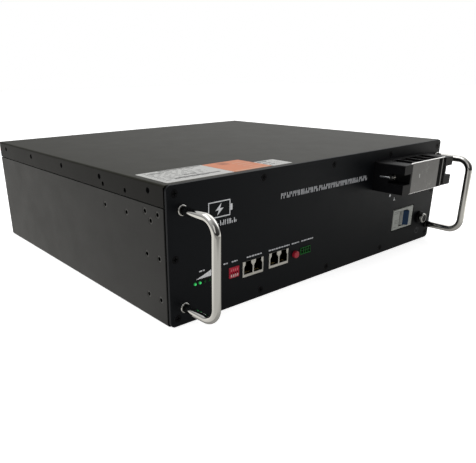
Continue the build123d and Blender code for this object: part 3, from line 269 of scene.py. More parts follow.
def place(name, bm, materials, body, slot, *replaced, angle=40.0):
    """Turns a bmesh into a piece that rides on a body."""
    bmesh.ops.recalc_face_normals(bm, faces=bm.faces)
    mesh = bpy.data.meshes.new(name)
    bm.to_mesh(mesh)
    bm.free()
    for material in materials:
        mesh.materials.append(material)
    shade(mesh, angle)
    piece = bpy.data.objects.new(name, mesh)
    bpy.context.scene.collection.objects.link(piece)
    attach(piece, body)
    if replaced:
        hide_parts(*replaced)


def rounded(x0, x1, z0, z1, radius, steps=5):
    """Outline of a rectangle with round corners."""
    radius = min(radius, (x1 - x0) / 2.001, (z1 - z0) / 2.001)
    points = []
    for cx, cz, start in (
        (x1 - radius, z1 - radius, 0.0),
        (x0 + radius, z1 - radius, pi / 2),
        (x0 + radius, z0 + radius, pi),
        (x1 - radius, z0 + radius, 1.5 * pi),
    ):
        for i in range(steps + 1):
            turn = start + pi / 2 * i / steps
            points.append((cx + radius * cos(turn), cz + radius * sin(turn)))
    return points


def plate(bm, outline, place_of, low, high, material=0):
    """Closed plate between two heights. place_of(u, v, height) gives the point."""
    bottom = [bm.verts.new(place_of(u, v, low)) for u, v in outline]
    top = [bm.verts.new(place_of(u, v, high)) for u, v in outline]
    faces = [bm.faces.new(top), bm.faces.new(bottom[::-1])]
    count = len(outline)
    for i in range(count):
        j = (i + 1) % count
        faces.append(bm.faces.new((bottom[i], bottom[j], top[j], top[i])))
    for face in faces:
        face.material_index = material


def lathe(bm, profile, middle, steps=48):
    """Turns a closed profile of (radius, y) about the Y axis through middle (x, z)."""
    cx, cz = middle
    rings = []
    for i in range(steps):
        turn = 2 * pi * i / steps
        rings.append([bm.verts.new((cx + r * cos(turn), y, cz + r * sin(turn))) for r, y in profile])
    for i in range(steps):
        here, there = rings[i], rings[(i + 1) % steps]
        for j in range(len(profile)):
            k = (j + 1) % len(profile)
            bm.faces.new((here[j], there[j], there[k], here[k]))


def tube(bm, path, radius, steps=40):
    """Closed round bar along points, with rings square to it."""
    rings = []
    for i, point in enumerate(path):
        before, after = path[max(i - 1, 0)], path[min(i + 1, len(path) - 1)]
        along = (after - before).normalized()
        side = Vector((1, 0, 0))
        across = along.cross(side).normalized()
        turns = [2 * pi * k / steps for k in range(steps)]
        rings.append(
            [bm.verts.new(point + radius * (cos(turn) * side + sin(turn) * across)) for turn in turns]
        )
    for here, there in zip(rings, rings[1:]):
        for k in range(steps):
            m = (k + 1) % steps
            bm.faces.new((here[k], here[m], there[m], there[k]))
    bm.faces.new(rings[0][::-1])
    bm.faces.new(rings[-1])


# ---- Places read from the frame -----------------------------------------------------------------
panel_low, panel_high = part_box("front_panel")
PANEL_FACE = panel_low.y
CASE_TOP = panel_high.z


def islands(node):
    """X and Y ends of each separate flat solid of a node, from its vertices."""
    xs = sorted({round(v.co.x, 5) for v in NODES[node].data.vertices})
    found = []
    for x0, x1 in zip(xs[::2], xs[1::2]):
        ys = [v.co.y for v in NODES[node].data.vertices if x0 - MM / 10 < v.co.x < x1 + MM / 10]
        found.append((x0, x1, min(ys), max(ys)))
    return found


def centre(node):
    low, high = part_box(node)
    return (low + high) / 2


# ---- Materials ----------------------------------------------------------------------------------
BLACK = (0.0085, 0.0082, 0.0076)
led_low, led_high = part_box("charge_leds")
LED_SPLIT = (led_low.x + led_high.x) / 2
LED_R = 1.5 * MM
LED_FIRST = led_low.x + LED_R
LED_PITCH = (led_high.x - led_low.x - 2 * LED_R) / 3  # four lamps
socket_low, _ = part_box("network_socket_left")
SOCKET_INSIDE = socket_low.y + 0.5 * MM
LATCH_HALF = 3.9 * MM
LATCH_DEEP = 3.2 * MM
# Depth of the painted shade on the case's walls behind the panel.
SEAM_SHADE = 3.0 * MM
COVER_RIBS = ((13.6, 6.0), (3.6, 0.8))  # distances from the cover's right end
TOGGLE_PIVOT = 5.7 * MM  # behind the panel's face
DRUM_R = 5.5 * MM


def cavity(graph):
    """Painted shade behind a socket's face, and in the slots that its latches open through the top of the
    face.
    """
    shaded = graph.math("GREATER_THAN", graph.axis("Y"), SOCKET_INSIDE)
    x, z = graph.axis("X"), graph.axis("Z")
    for node in ("network_socket_left", "network_socket_right"):
        low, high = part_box(node)
        for middle in (low.x * 0.75 + high.x * 0.25, low.x * 0.25 + high.x * 0.75):
            slot = graph.between(x, middle - LATCH_HALF, middle + LATCH_HALF)
            slot = graph.times(slot, graph.between(z, high.z - LATCH_DEEP, high.z))
            shaded = graph.math("MAXIMUM", shaded, slot)
    return shaded


def seam(graph):
    """Painted shade on the case's walls for a short way behind the panel, where their joint with it lies
    in shadow.
    """
    return graph.math("LESS_THAN", graph.axis("Y"), panel_high.y + SEAM_SHADE)


def lid_top(graph, colour):
    """Painted light: the lid's top, which faces the light from above, is a little paler than its flanges.
    """
    above = graph.ranged(graph.axis("Z"), 0.0, 1.0, CASE_TOP - 2.2 * MM, CASE_TOP - 0.3 * MM)
    return graph.mix(above, colour, (0.0160, 0.0158, 0.0085))


def sooty(graph, colour):
    """Painted shade: the collar beside the power button is darkened."""
    housing = centre("power_switch_housing")
    near = graph.math(
        "MULTIPLY",
        graph.math("GREATER_THAN", graph.axis("X"), housing.x),
        graph.math("LESS_THAN", graph.axis("Z"), housing.z),
    )
    return graph.mix(near, colour, (0.05, 0.05, 0.05))


def foot_shade(graph, colour):
    """Painted reflection: where a bar meets its collar the chrome is painted dark, as it would mirror the
    dark panel.
    """
    root = graph.ranged(graph.axis("Y"), 0.0, 0.9, PANEL_FACE - 8.5 * MM, PANEL_FACE - 5.0 * MM)
    return graph.mix(root, colour, (0.03, 0.03, 0.032))


def button_face(graph, colour):
    """Polished rim round a dark dish."""
    middle = centre("power_button")
    across = graph.math("SUBTRACT", graph.axis("X"), middle.x)
    up = graph.math("SUBTRACT", graph.axis("Z"), middle.z)
    reach = graph.math("SQRT", graph.square_sum(across, up))
    dish = graph.ranged(reach, 1.0, 0.0, 4.3 * MM, 4.8 * MM)
    return graph.mix(dish, colour, (0.01, 0.01, 0.011))


def cover_peg(graph, colour):
    """A painted highlight: a pale streak on the smoked cover over the end of its left peg."""
    low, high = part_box("terminal_cover")
    peg_x = low.x + (high.x - low.x) / 4
    peg_z = (low.z + high.z) / 2 + 1.5 * MM
    peg = graph.math(
        "MULTIPLY",
        graph.between(graph.axis("X"), peg_x - 0.6 * MM, peg_x + 0.6 * MM),
        graph.between(graph.axis("Z"), peg_z - 2.2 * MM, peg_z + 2.2 * MM),
    )
    return graph.mix(peg, colour, (0.5, 0.5, 0.48))


def connector_ridges(graph, colour):
    """Painted light and shade: the connector's rim and the thin walls between its mouths are painted a lit
    green, paler than the mouths, whose dark green is painted shade.
    """
    low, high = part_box("dry_contact_connector")
    x, z = graph.axis("X"), graph.axis("Z")
    inside = graph.math(
        "MULTIPLY",
        graph.between(x, low.x + 0.5 * MM, high.x - 0.5 * MM),
        graph.between(z, low.z + 0.9 * MM, high.z - 0.4 * MM),
    )
    bright = graph.math("SUBTRACT", 1.0, inside)
    for share in (0.28, 0.50, 0.72):
        wall = low.x + share * (high.x - low.x)
        bright = graph.math("MAXIMUM", bright, graph.between(x, wall - 0.35 * MM, wall + 0.35 * MM))
    face = graph.math("LESS_THAN", graph.axis("Y"), low.y + 0.6 * MM)
    return graph.mix(graph.times(bright, face), colour, (0.010, 0.16, 0.022))


def dip_print(graph, colour):
    """A pale stroke over each slider and a rule under them."""
    low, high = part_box("dip_switch_body")
    x, z = graph.axis("X"), graph.axis("Z")
    wide, tall = high.x - low.x, high.z - low.z
    rule_x = graph.between(x, low.x + 0.12 * wide, high.x - 0.12 * wide)
    rule_z = graph.between(z, low.z + 0.06 * tall, low.z + 0.11 * tall)
    marks = graph.times(rule_x, rule_z)
    for start in (0.16, 0.36, 0.56, 0.76):
        stroke_x = graph.between(x, low.x + start * wide, low.x + (start + 0.09) * wide)
        stroke_z = graph.between(z, low.z + 0.62 * tall, low.z + 0.84 * tall)
        marks = graph.math("MAXIMUM", marks, graph.times(stroke_x, stroke_z))
    face = graph.math("LESS_THAN", graph.axis("Y"), low.y + 0.3 * MM)
    return graph.mix(graph.times(marks, face), colour, (0.62, 0.16, 0.18))


def toggle_parts(graph, colour):
    """The lever is blue and the drum it stands on is as pale as the breaker."""
    pivot_x = centre("breaker_body").x
    across = graph.math("SUBTRACT", graph.axis("X"), pivot_x)
    deep = graph.math("SUBTRACT", graph.axis("Y"), PANEL_FACE + TOGGLE_PIVOT)
    lever = graph.math("GREATER_THAN", graph.square_sum(across, deep), DRUM_R**2)
    return graph.mix(lever, (0.30, 0.31, 0.29), colour)


def wrapped(graph, colour):
    """Shrink wrap with a paler band round the top of each cell."""
    band = graph.between(graph.axis("Z"), 0.112, 0.116)
    return graph.mix(band, colour, (0.5, 0.5, 0.52))


POWDER = dict(grain=1500, bump=0.35, height=0.06)
CHROME = dict(metal=1.0, spread=0.02, rough_spread=0.02, grain=600, bump=0.02, height=0.01)
ORANGE = dict(specular=0.15, spread=0.08, grain=1200, bump=0.04)
PRINTED = dict(specular=0.2, spread=0.1, grain=2500)
M = {
    "case": surface(
        "powder_black_case",
        BLACK,
        0.42,
        spread=0.25,
        rounding=0.35,
        specular=0.3,
        painted_shade=seam,
        **POWDER,
    ),
    "lid": surface(
        "powder_black_lid",
        (0.0045, 0.0043, 0.0040),
        0.44,
        spread=0.1,
        rough_spread=0.02,
        rounding=0.35,
        specular=0.135,
        Specular_Tint=(1.0, 0.985, 0.92),
        recolour=lid_top,
        **POWDER,
    ),
    "panel": surface(
        "powder_black_panel",
        (0.0034, 0.0038, 0.0050),
        0.46,
        spread=0.25,
        specular=0.185,
        Specular_Tint=(0.86, 0.93, 1.0),
        **POWDER,
    ),
    "chrome": surface("chrome", (0.76, 0.75, 0.72), 0.07, recolour=foot_shade, **CHROME),
    "collar": surface("chrome_collar", (0.76, 0.75, 0.72), 0.09, recolour=sooty, **CHROME),
    "screw_black": surface(
        "screw_black", (0.0032, 0.0034, 0.0040), 0.42, specular=0.09, grain=2500, rounding=0.2
    ),
    "screw_dull": surface("screw_dull", (0.004, 0.004, 0.0042), 0.5, specular=0.0, grain=2500),
    "zinc": surface(
        "zinc_plated", (0.62, 0.63, 0.65), 0.3, metal=1.0, grain=1800, blotch=180, rounding=0.15,
    ),
    "screw_bright": surface(
        "screw_bright", (0.8, 0.79, 0.77), 0.2, metal=1.0, grain=1800, blotch=250, rounding=0.15,
    ),
    "insert": surface("insert_black_zinc", (0.085, 0.085, 0.083), 0.35, metal=1.0, grain=1800),
    "cell_wrap": surface("cell_wrap", (0.05, 0.16, 0.42), 0.35, grain=500, blotch=20, recolour=wrapped),
    "aluminium": surface(
        "bare_aluminium",
        (0.78, 0.78, 0.77),
        0.34,
        metal=1.0,
        grain=900,
        stretch=(0.05, 1.0, 1.0),
        blotch=60,
    ),
    "copper": surface(
        "copper", (0.86, 0.46, 0.30), 0.3, metal=1.0, grain=900, stretch=(0.08, 1.0, 1.0), blotch=80,
    ),
    "insulation": surface(
        "insulation_board", (0.72, 0.66, 0.5), 0.7, grain=900, stretch=(1.0, 0.2, 1.0), blotch=70,
    ),
    "board": surface("circuit_board", (0.02, 0.16, 0.06), 0.35, grain=600, blotch=220, spread=0.35),
    "component": surface("component_black", (0.015, 0.015, 0.016), 0.5, grain=2200),
    "led_dark": surface("led_dark", (0.006, 0.016, 0.009), 0.25, grain=900, bump=0.03, specular=0.2),
    "led_lit": surface("led_lit", (0.004, 0.045, 0.012), 0.25, grain=900, bump=0.03, specular=0.2),
    "dip_red": surface(
        "dip_red", (0.46, 0.010, 0.034), 0.4, specular=0.22, grain=2500, rounding=0.15, recolour=dip_print
    ),
    "slider": surface("slider_white", (0.74, 0.52, 0.50), 0.4, grain=2500, rounding=0.1),
    "socket": surface("socket_cream", (0.55, 0.53, 0.47), 0.45, grain=2200, rounding=0.2, painted_shade=cavity),
    "gold": surface("contact_gold", (0.95, 0.7, 0.3), 0.22, metal=1.0, grain=1500),
    "reset": surface("reset_red", (0.40, 0.012, 0.030), 0.3, grain=2200, bump=0.05, Coat_Weight=0.15),
    "connector": surface(
        "connector_green",
        (0.004, 0.030, 0.006),
        0.45,
        specular=0.15,
        grain=2200,
        rounding=0.15,
        recolour=connector_ridges,
    ),
    "breaker": surface("breaker_grey", (0.36, 0.375, 0.345), 0.42, spread=0.06, grain=1800, rounding=0.3),
    "toggle": surface(
        "toggle_blue",
        (0.006, 0.030, 0.078),
        0.35,
        specular=0.2,
        grain=1800,
        bump=0.08,
        rounding=0.3,
        recolour=toggle_parts,
    ),
    "block": surface(
        "block_black", (0.004, 0.004, 0.0046), 0.4, specular=0.13, spread=0.25, grain=1800, rounding=0.35
    ),
    "button": surface(
        "button_polished", (0.5, 0.5, 0.48), 0.12, metal=1.0, spread=0.05, grain=900, recolour=button_face
    ),
    "cover": surface(
        "smoke_clear",
        (0.155, 0.152, 0.144),
        0.25,
        specular=0.2,
        spread=0.10,
        grain=900,
        bump=0.02,
        blotch=60,
        IOR=1.49,
        recolour=cover_peg,
    ),
    # Painted highlight: the cover's eased edges are near white and glow, though they are no lamp.
    "cover_edge_glow": surface(
        "smoke_clear_edge_glow",
        (0.85, 0.84, 0.82),
        0.25,
        spread=0.05,
        IOR=1.49,
        Emission_Color=(1.0, 0.98, 0.95),
        Emission_Strength=0.4,
    ),
    # Painted shade: near-black sheets that reflect next to nothing, where the cover's ribs stand.
    "cover_rib_shade": surface("smoke_rib_shade", (0.004, 0.004, 0.004), 0.5, specular=0.02, grain=900),
    "lead_black": surface("lead_black", (0.02, 0.02, 0.02), 0.5, grain=1600),
    "lead_red": surface("lead_red", (0.5, 0.02, 0.015), 0.5, grain=1600),
    "label_white": surface(
        "label_white", (0.62, 0.62, 0.60), 0.4, specular=0.25, spread=0.04, grain=1200, bump=0.04,
    ),
    "label_orange": surface("label_orange", (0.72, 0.25, 0.12), 0.4, **ORANGE),
    "label_orange_pale": surface("label_orange_pale", (0.72, 0.42, 0.28), 0.4, **ORANGE),
    "label_orange_dark": surface("label_orange_dark", (0.50, 0.17, 0.085), 0.4, **ORANGE),
    "label_print": surface("label_print", (0.05, 0.05, 0.052), 0.5, **PRINTED),
    "label_print_grey": surface("label_print_grey", (0.20, 0.20, 0.195), 0.5, **PRINTED),
    "ink_white": surface("ink_white", (0.74, 0.75, 0.77), 0.5, spread=0.06, grain=2500),
    "ink_title": surface("ink_title", (0.56, 0.57, 0.59), 0.5, specular=0.2, spread=0.06, grain=2500),
    "ink_grey": surface("ink_grey", (0.07, 0.07, 0.073), 0.5, **PRINTED),
}


def led_glow(graph):
    """The first two lamps are lit, brightest in the middle."""
    z = graph.math("SUBTRACT", graph.axis("Z"), centre("charge_leds").z)
    reach = 1.0
    for x in (LED_FIRST, LED_FIRST + LED_PITCH):
        across = graph.math("SUBTRACT", graph.axis("X"), x)
        reach = graph.math("MINIMUM", reach, graph.math("SQRT", graph.square_sum(across, z)))
    core = graph.ranged(reach, 1.0, 0.28, 0.5 * MM, 1.4 * MM)
    return graph.times(core, graph.math("LESS_THAN", graph.axis("X"), LED_SPLIT))


lit(M["led_lit"], led_glow, (0.06, 0.72, 0.17))

PAINT = {
    "case": "chassis_tray",
    "lid": "top_cover",
    "panel": "front_panel",
    "screw_black": "front_panel_screws",
    "screw_dull": "cover_screws",
    "zinc": "clinch_nuts handle_screws board_standoffs board_screws fitting_nuts breaker_rail"
    " tie_bars link_nuts",
    "screw_bright": "terminal_block_screws terminal_screws dry_contact_screws",
    "insert": "side_inserts",
    "chrome": "handle_left handle_right handle_collars",
    "cell_wrap": "cells_front_row cells_rear_row",
    "aluminium": "end_plates bms_heatsink cell_poles",
    "copper": "cell_links output_plates pack_tabs cable_lugs terminal_studs bms_posts",
    "insulation": "cell_insulation",
    "board": "bms_board comm_board sense_boards",
    "component": "bms_components reset_switch_body",
    "led_lit": "charge_leds",
    "led_dark": "status_leds",
    "dip_red": "dip_switch_body",
    "slider": "dip_slider_1 dip_slider_2 dip_slider_3 dip_slider_4",
    "socket": "network_socket_left network_socket_right",
    "gold": "socket_contacts",
    "reset": "reset_button",
    "connector": "dry_contact_connector",
    "breaker": "breaker_body",
    "toggle": "breaker_toggle",
    "block": "terminal_block power_switch_housing",
    "button": "power_button",
    "cover": "terminal_cover",
    "lead_black": "power_leads_negative signal_wiring",
    "lead_red": "power_leads_positive",
    "label_white": "stickers_white",
    "label_orange": "sticker_orange",
}
for key, names in PAINT.items():
    for node in names.split():
        NODES[node].data.materials.clear()
        NODES[node].data.materials.append(M[key])


# ---- Handles: bent chrome bars in turned collars ------------------------------------------------
HANDLE_BEND = 14.5 * MM
BEND_STEPS = 20
RUN_STEPS = 6


def bar_path(x, wall, grip, low, high):
    """Wall to grip, along the grip and back, with round bends."""
    b = HANDLE_BEND
    points = []
    for i in range(RUN_STEPS):
        points.append(Vector((x, wall + (grip + b - wall) * i / RUN_STEPS, low)))
    for i in range(BEND_STEPS + 1):
        turn = pi / 2 * i / BEND_STEPS
        points.append(Vector((x, grip + b - b * sin(turn), low + b - b * cos(turn))))
    for i in range(1, RUN_STEPS):
        points.append(Vector((x, grip, low + b + (high - low - 2 * b) * i / RUN_STEPS)))
    for i in range(BEND_STEPS + 1):
        turn = pi / 2 * i / BEND_STEPS
        points.append(Vector((x, grip + b - b * cos(turn), high - b + b * sin(turn))))
    for i in range(1, RUN_STEPS + 1):
        points.append(Vector((x, grip + b + (wall - grip - b) * i / RUN_STEPS, high)))
    return points


feet = []
for name in ("handle_left", "handle_right"):
    low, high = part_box(name)
    radius = (high.x - low.x) / 2
    x = (low.x + high.x) / 2
    bm = bmesh.new()
    tube(bm, bar_path(x, high.y, low.y + radius, low.z + radius, high.z - radius), radius)
    place(name + "_bar", bm, [M["chrome"]], "case", "chrome", name)
    feet += [(x, low.z + radius), (x, high.z - radius)]

collar_low, collar_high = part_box("handle_collars")
collar_r = feet[0][0] - collar_low.x
EASE = 0.9 * MM
bm = bmesh.new()
for foot in feet:
    bore = radius + 0.02 * MM
    profile = [(bore, collar_high.y), (collar_r, collar_high.y), (collar_r, collar_low.y + EASE)]
    for i in range(1, 7):
        turn = pi / 2 * i / 6
        profile.append((collar_r - EASE + EASE * cos(turn), collar_low.y + EASE - EASE * sin(turn)))
    profile += [(bore + 0.3 * MM, collar_low.y), (bore, collar_low.y + 0.3 * MM)]
    lathe(bm, profile, foot)
place("handle_collar_rings", bm, [M["collar"]], "case", "chrome", "handle_collars")

# ---- Terminal cover: a smoked plate on two pegs, its edges a painted glowing highlight, its ribs painted shade ---
COVER_SHEET = 2.0 * MM
COVER_EASE = 0.5 * MM
PEG_R = 1.45 * MM
PEG_EASE = 0.4 * MM
RIB_SHEET = 0.05 * MM
AXIS_R = 0.0002 * MM  # keeps a turned piece's ends closed without doubled points
cover_low, cover_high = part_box("terminal_cover")


def front_at(u, v, height):
    """Point on the front at X u and Z v, height in front of the panel's face."""
    return (u, PANEL_FACE - height, v)


bm = bmesh.new()
plate_front = PANEL_FACE - cover_low.y
plate_back = plate_front - COVER_SHEET
outline = rounded(cover_low.x, cover_high.x, cover_low.z, cover_high.z, 1.2 * MM, 6)
inset = rounded(
    cover_low.x + COVER_EASE,
    cover_high.x - COVER_EASE,
    cover_low.z + COVER_EASE,
    cover_high.z - COVER_EASE,
    0.9 * MM,
    6,
)
layers = (
    (inset, plate_back),
    (outline, plate_back + COVER_EASE),
    (outline, plate_front - COVER_EASE),
    (inset, plate_front),
)
rows = [[bm.verts.new(front_at(u, v, h)) for u, v in points] for points, h in layers]
bm.faces.new(rows[0][::-1])
bm.faces.new(rows[-1])
for here, there in zip(rows, rows[1:]):
    for i in range(len(outline)):
        j = (i + 1) % len(outline)
        bm.faces.new((here[i], here[j], there[j], there[i])).material_index = 1
pitch = (cover_high.x - cover_low.x + 0.4 * MM) / 4
peg_z = (cover_low.z + cover_high.z) / 2
for x in (cover_low.x - 0.2 * MM + pitch, cover_high.x + 0.2 * MM - pitch):
    profile = [
        (AXIS_R, PANEL_FACE - plate_back),
        (PEG_R, PANEL_FACE - plate_back),
        (PEG_R, cover_high.y - PEG_EASE),
        (PEG_R - PEG_EASE, cover_high.y),
        (AXIS_R, cover_high.y),
    ]
    lathe(bm, profile, (x, peg_z), 24)
# Thin near-black sheets on the cover's front: painted shade where its ribs stand.
for start, stop in COVER_RIBS:
    rib = rounded(
        cover_high.x - start * MM,
        cover_high.x - stop * MM,
        cover_low.z + 0.8 * MM,
        cover_high.z - 0.8 * MM,
        0.2 * MM,
        2,
    )
    plate(bm, rib, front_at, plate_front, plate_front + RIB_SHEET, 2)
place(
    "terminal_cover_plate",
    bm,
    [M["cover"], M["cover_edge_glow"], M["cover_rib_shade"]],
    "clear_cover",
    "smoke_clear",
    "terminal_cover",
    angle=20,
)

# ---- Stickers on the top cover, with printed strokes that are no lettering ----------------------
STICKER_SHEET = 0.10 * MM
PRINT = 0.04 * MM


def top_at(u, v, height):
    return (u, v, CASE_TOP + height)


def sticker(name, node, base, slot_name, prints):
    """prints(bm, corners, index) draws on each island with materials 1 and 2."""
    bm = bmesh.new()
    for index, (x0, x1, y0, y1) in enumerate(islands(node)):
        plate(bm, rounded(x0, x1, y0, y1, 1.6 * MM), top_at, 0.0, STICKER_SHEET)
        prints(bm, (x0, x1, y0, y1), index)
    place(name, bm, base, "case", slot_name, node, angle=30)


def stroke(bm, x0, x1, y0, y1, material):
    outline = rounded(x0, x1, y0, y1, 0.25 * MM, 2)
    plate(bm, outline, top_at, STICKER_SHEET, STICKER_SHEET + PRINT, material)


def white_prints(bm, corners, index):
    """Broken rows of faint strokes, and bold rules where the print is heaviest."""
    x0, x1, y0, y1 = corners
    wide, deep = x1 - x0, y1 - y0
    random = Random(7 + index)
    rows = 9 if index == 0 else 5
    for row in range(rows):
        y = y1 - deep * (0.12 + 0.80 * row / rows)
        x = x0 + wide * 0.07
        end = x1 - wide * (0.08 + 0.25 * random.random())
        while x < end:
            length = wide * (0.03 + 0.08 * random.random())
            stroke(bm, x, min(x + length, end), y, y + deep * 0.022, 2)
            x += length + wide * 0.05
    for left, right, near, far in RULES[index]:
        stroke(bm, x0 + wide * left, x0 + wide * right, y0 + deep * near, y0 + deep * far, 1)


def orange_prints(bm, corners, index):
    """A darker patch at the rear, a pale front border and pale lines at the right."""
    x0, x1, y0, y1 = corners
    wide, deep = x1 - x0, y1 - y0
    stroke(bm, x0 + wide * 0.30, x0 + wide * 0.52, y0 + deep * 0.70, y0 + deep * 0.93, 1)
    stroke(bm, x0 + wide * 0.05, x1 - wide * 0.05, y0 + deep * 0.015, y0 + deep * 0.075, 2)
    for row in range(4):
        y = y0 + deep * (0.2 + 0.17 * row)
        stroke(bm, x0 + wide * 0.58, x1 - wide * (0.08 + 0.09 * (row % 2)), y, y + deep * 0.03, 2)


# Rules of each white sticker: left and right ends as shares of its width, near and far edges of its depth.
RULES = (
    (
        (0.22, 0.90, 0.215, 0.262),
        (0.30, 0.96, 0.93, 0.965),
        (0.10, 0.34, 0.80, 0.835),
        (0.40, 0.62, 0.40, 0.425),
    ),
    ((0.06, 0.50, 0.80, 0.87), (0.05, 0.42, 0.52, 0.58), (0.10, 0.36, 0.26, 0.31)),
)
sticker(
    "stickers_white_print",
    "stickers_white",
    [M["label_white"], M["label_print"], M["label_print_grey"]],
    "label_white",
    white_prints,
)
sticker(
    "sticker_orange_print",
    "sticker_orange",
    [M["label_orange"], M["label_orange_dark"], M["label_orange_pale"]],
    "label_orange",
    orange_prints,
)

# ---- Silkscreen on the panel: strokes and pictograms, no lettering ------------------------------
INK = 0.05 * MM


def ink(bm, x0, x1, z0, z1, corner=0.4, base=0.0):
    """A stroke of print, in mm, standing on a surface base metres in front of the panel."""
    outline = rounded(x0 * MM, x1 * MM, z0 * MM, z1 * MM, corner * MM, 3)
    plate(bm, outline, front_at, base, base + INK)


def ink_shape(bm, points):
    plate(bm, [(x * MM, z * MM) for x, z in points], front_at, 0.0, INK)


TICK = (0.85, 1.95, 3.9)  # width of a tick, pitch of the two in a cell, pitch of the cells


def tick_row(bm, left, right, low, high, random):
    """Cells of a tall tick and a shorter one, in groups, where a line of print would stand."""
    width, pair, cell = TICK
    middle = (low + high) / 2
    x = left
    while x + pair + width < right:
        for _ in range(random.choice((2, 3, 5))):
            if x + pair + width < right:
                ink(bm, x, x + width, low, high, 0.3)
                shorter = random.choice(((low, high), (low, middle), (middle, high)))
                ink(bm, x + pair, x + pair + width, *shorter, 0.3)
            x += cell
        x += width


random = Random(3)
bm = bmesh.new()
tick_row(bm, -81.5, 64.0, 99.9, 105.7, random)
place("title_ticks", bm, [M["ink_title"]], "case", "label_white")

# A battery with a bolt in it: four fine outline bars, the pole and the bolt, over a row of ticks.
EMBLEM = (-176.0, -149.5, 95.6, 111.0)
LINE = 1.0
bm = bmesh.new()
x0, x1, z0, z1 = EMBLEM
ink(bm, x0, x1, z0, z0 + LINE)
ink(bm, x0, x1, z1 - LINE, z1)
ink(bm, x0, x0 + LINE, z0 + LINE + 0.1, z1 - LINE - 0.1)
ink(bm, x1 - LINE, x1, z0 + LINE + 0.1, z1 - LINE - 0.1)
ink(bm, x1 + 0.2, x1 + 2.6, z0 + 4.6, z1 - 4.6, 0.6)
mid = (x0 + x1) / 2
BOLT = ((2.4, 13.2), (-5.0, 6.8), (-0.8, 6.8), (-2.8, 2.1), (5.0, 8.6), (0.6, 8.6))
ink_shape(bm, [(mid + u, z0 + v) for u, v in BOLT])
tick_row(bm, -174.5, -141.0, 87.6, 92.6, random)
place("battery_emblem", bm, [M["ink_white"]], "case", "label_white")

bm = bmesh.new()
ink_shape(bm, ((-191.5, 40.9), (-172.6, 40.9), (-172.6, 47.1)))
place("charge_wedge", bm, [M["ink_white"]], "case", "label_white")

bm = bmesh.new()
MARKS = (
    (-187.4, -180.2),
    (-157.8, -151.2),
    (-147.2, -139.6),
    (-127.3, -106.5),
    (-96.4, -65.2),
    (-61.6, -50.0),
    (-46.4, -26.2),
)
MARK_ZS = (47.6, 49.0)
for x0, x1 in MARKS:
    x = x0
    while x < x1 - 0.8:
        length = 1.4 + 2.2 * random.random()
        ink(bm, x, min(x + length, x1), *MARK_ZS, 0.3)
        x += length + 0.7
place("port_marks", bm, [M["ink_title"]], "case", "label_white")

# A power sign under the button: an open ring of dots and a stroke.
SIGN_R = 4.0
SIGN_Z = 14.6
SIGN_DOTS = 20
bm = bmesh.new()
switch = centre("power_switch_housing")
ink(bm, switch.x / MM - 0.6, switch.x / MM + 0.6, SIGN_Z + 0.6, SIGN_Z + SIGN_R + 0.8, 0.5)
for i in range(SIGN_DOTS):
    turn = radians(125) + radians(290) * i / (SIGN_DOTS - 1)
    cx, cz = switch.x / MM + SIGN_R * cos(turn), SIGN_Z + SIGN_R * sin(turn)
    ink(bm, cx - 0.5, cx + 0.5, cz - 0.5, cz + 0.5, 0.49)
place("switch_marks", bm, [M["ink_grey"]], "case", "label_white")

bm = bmesh.new()
ink(bm, 113.9, 117.3, 71.9, 75.3, 1.7)
ink(bm, 124.4, 127.8, 66.0, 67.0, 0.3)
ink(bm, 125.6, 126.6, 67.2, 69.4, 0.3)
place("terminal_marks", bm, [M["ink_white"]], "case", "label_white")

# Rows of fine print on the breaker's nose, beside its lever.
BREAKER_ROWS = (
    (131.2, 143.0, 48.6, 49.3),
    (131.2, 139.5, 46.4, 47.1),
    (132.6, 142.0, 37.6, 38.2),
    (132.6, 140.2, 35.6, 36.2),
    (132.6, 142.8, 33.6, 34.2),
    (131.2, 137.0, 28.6, 29.3),
    (147.0, 148.2, 43.0, 48.8),
)
breaker_low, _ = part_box("breaker_body")
nose = PANEL_FACE - breaker_low.y
bm = bmesh.new()
for row in BREAKER_ROWS:
    ink(bm, *row, 0.3, nose)
place("breaker_print", bm, [M["label_print_grey"]], "case", "label_white")

# ---- Terminal block: the sleeve that its left ear's screw passes through, bare along the block's end ---
SLEEVE_R = 1.1 * MM
SLEEVE_DEPTHS = (21.0 * MM, 9.0 * MM)  # in front of the block's back
block_low, block_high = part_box("terminal_block")
screw_z = centre("terminal_block_screws").z
bm = bmesh.new()
near, far = (block_high.y - depth for depth in SLEEVE_DEPTHS)
profile = [(AXIS_R, near), (SLEEVE_R, near), (SLEEVE_R, far), (AXIS_R, far)]
lathe(bm, profile, (block_low.x + 0.5 * MM, screw_z + 0.8 * MM), 20)
place("ear_screw_sleeve", bm, [M["zinc"]], "case", "zinc", angle=30)

# ---- Floor and light ----------------------------------------------------------------------------
FLOOR_GLOW = 0.35
FLOOR_GLOW_SEEN = 0.75  # to the camera, so that the floor is white
FLOOR_HALF = 6.0
floor_mesh = bpy.data.meshes.new("floor")
floor_mesh.from_pydata(
    [(x * FLOOR_HALF, y * FLOOR_HALF, 0) for x, y in ((-1, -1), (1, -1), (1, 1), (-1, 1))],
    [],
    [(0, 1, 2, 3)],
)
floor = bpy.data.objects.new("floor", floor_mesh)
floor.location.z = cad_bounds[0].z - 0.2 * MM
floor_material = surface(
    "floor_pale",
    (0.93, 0.93, 0.93),
    0.85,
    spread=0.004,
    specular=0.1,
    grain=60,
    bump=0.0,
    blotch=2.0,
    Emission_Color=(1.0, 1.0, 1.0),
    Emission_Strength=FLOOR_GLOW,
)


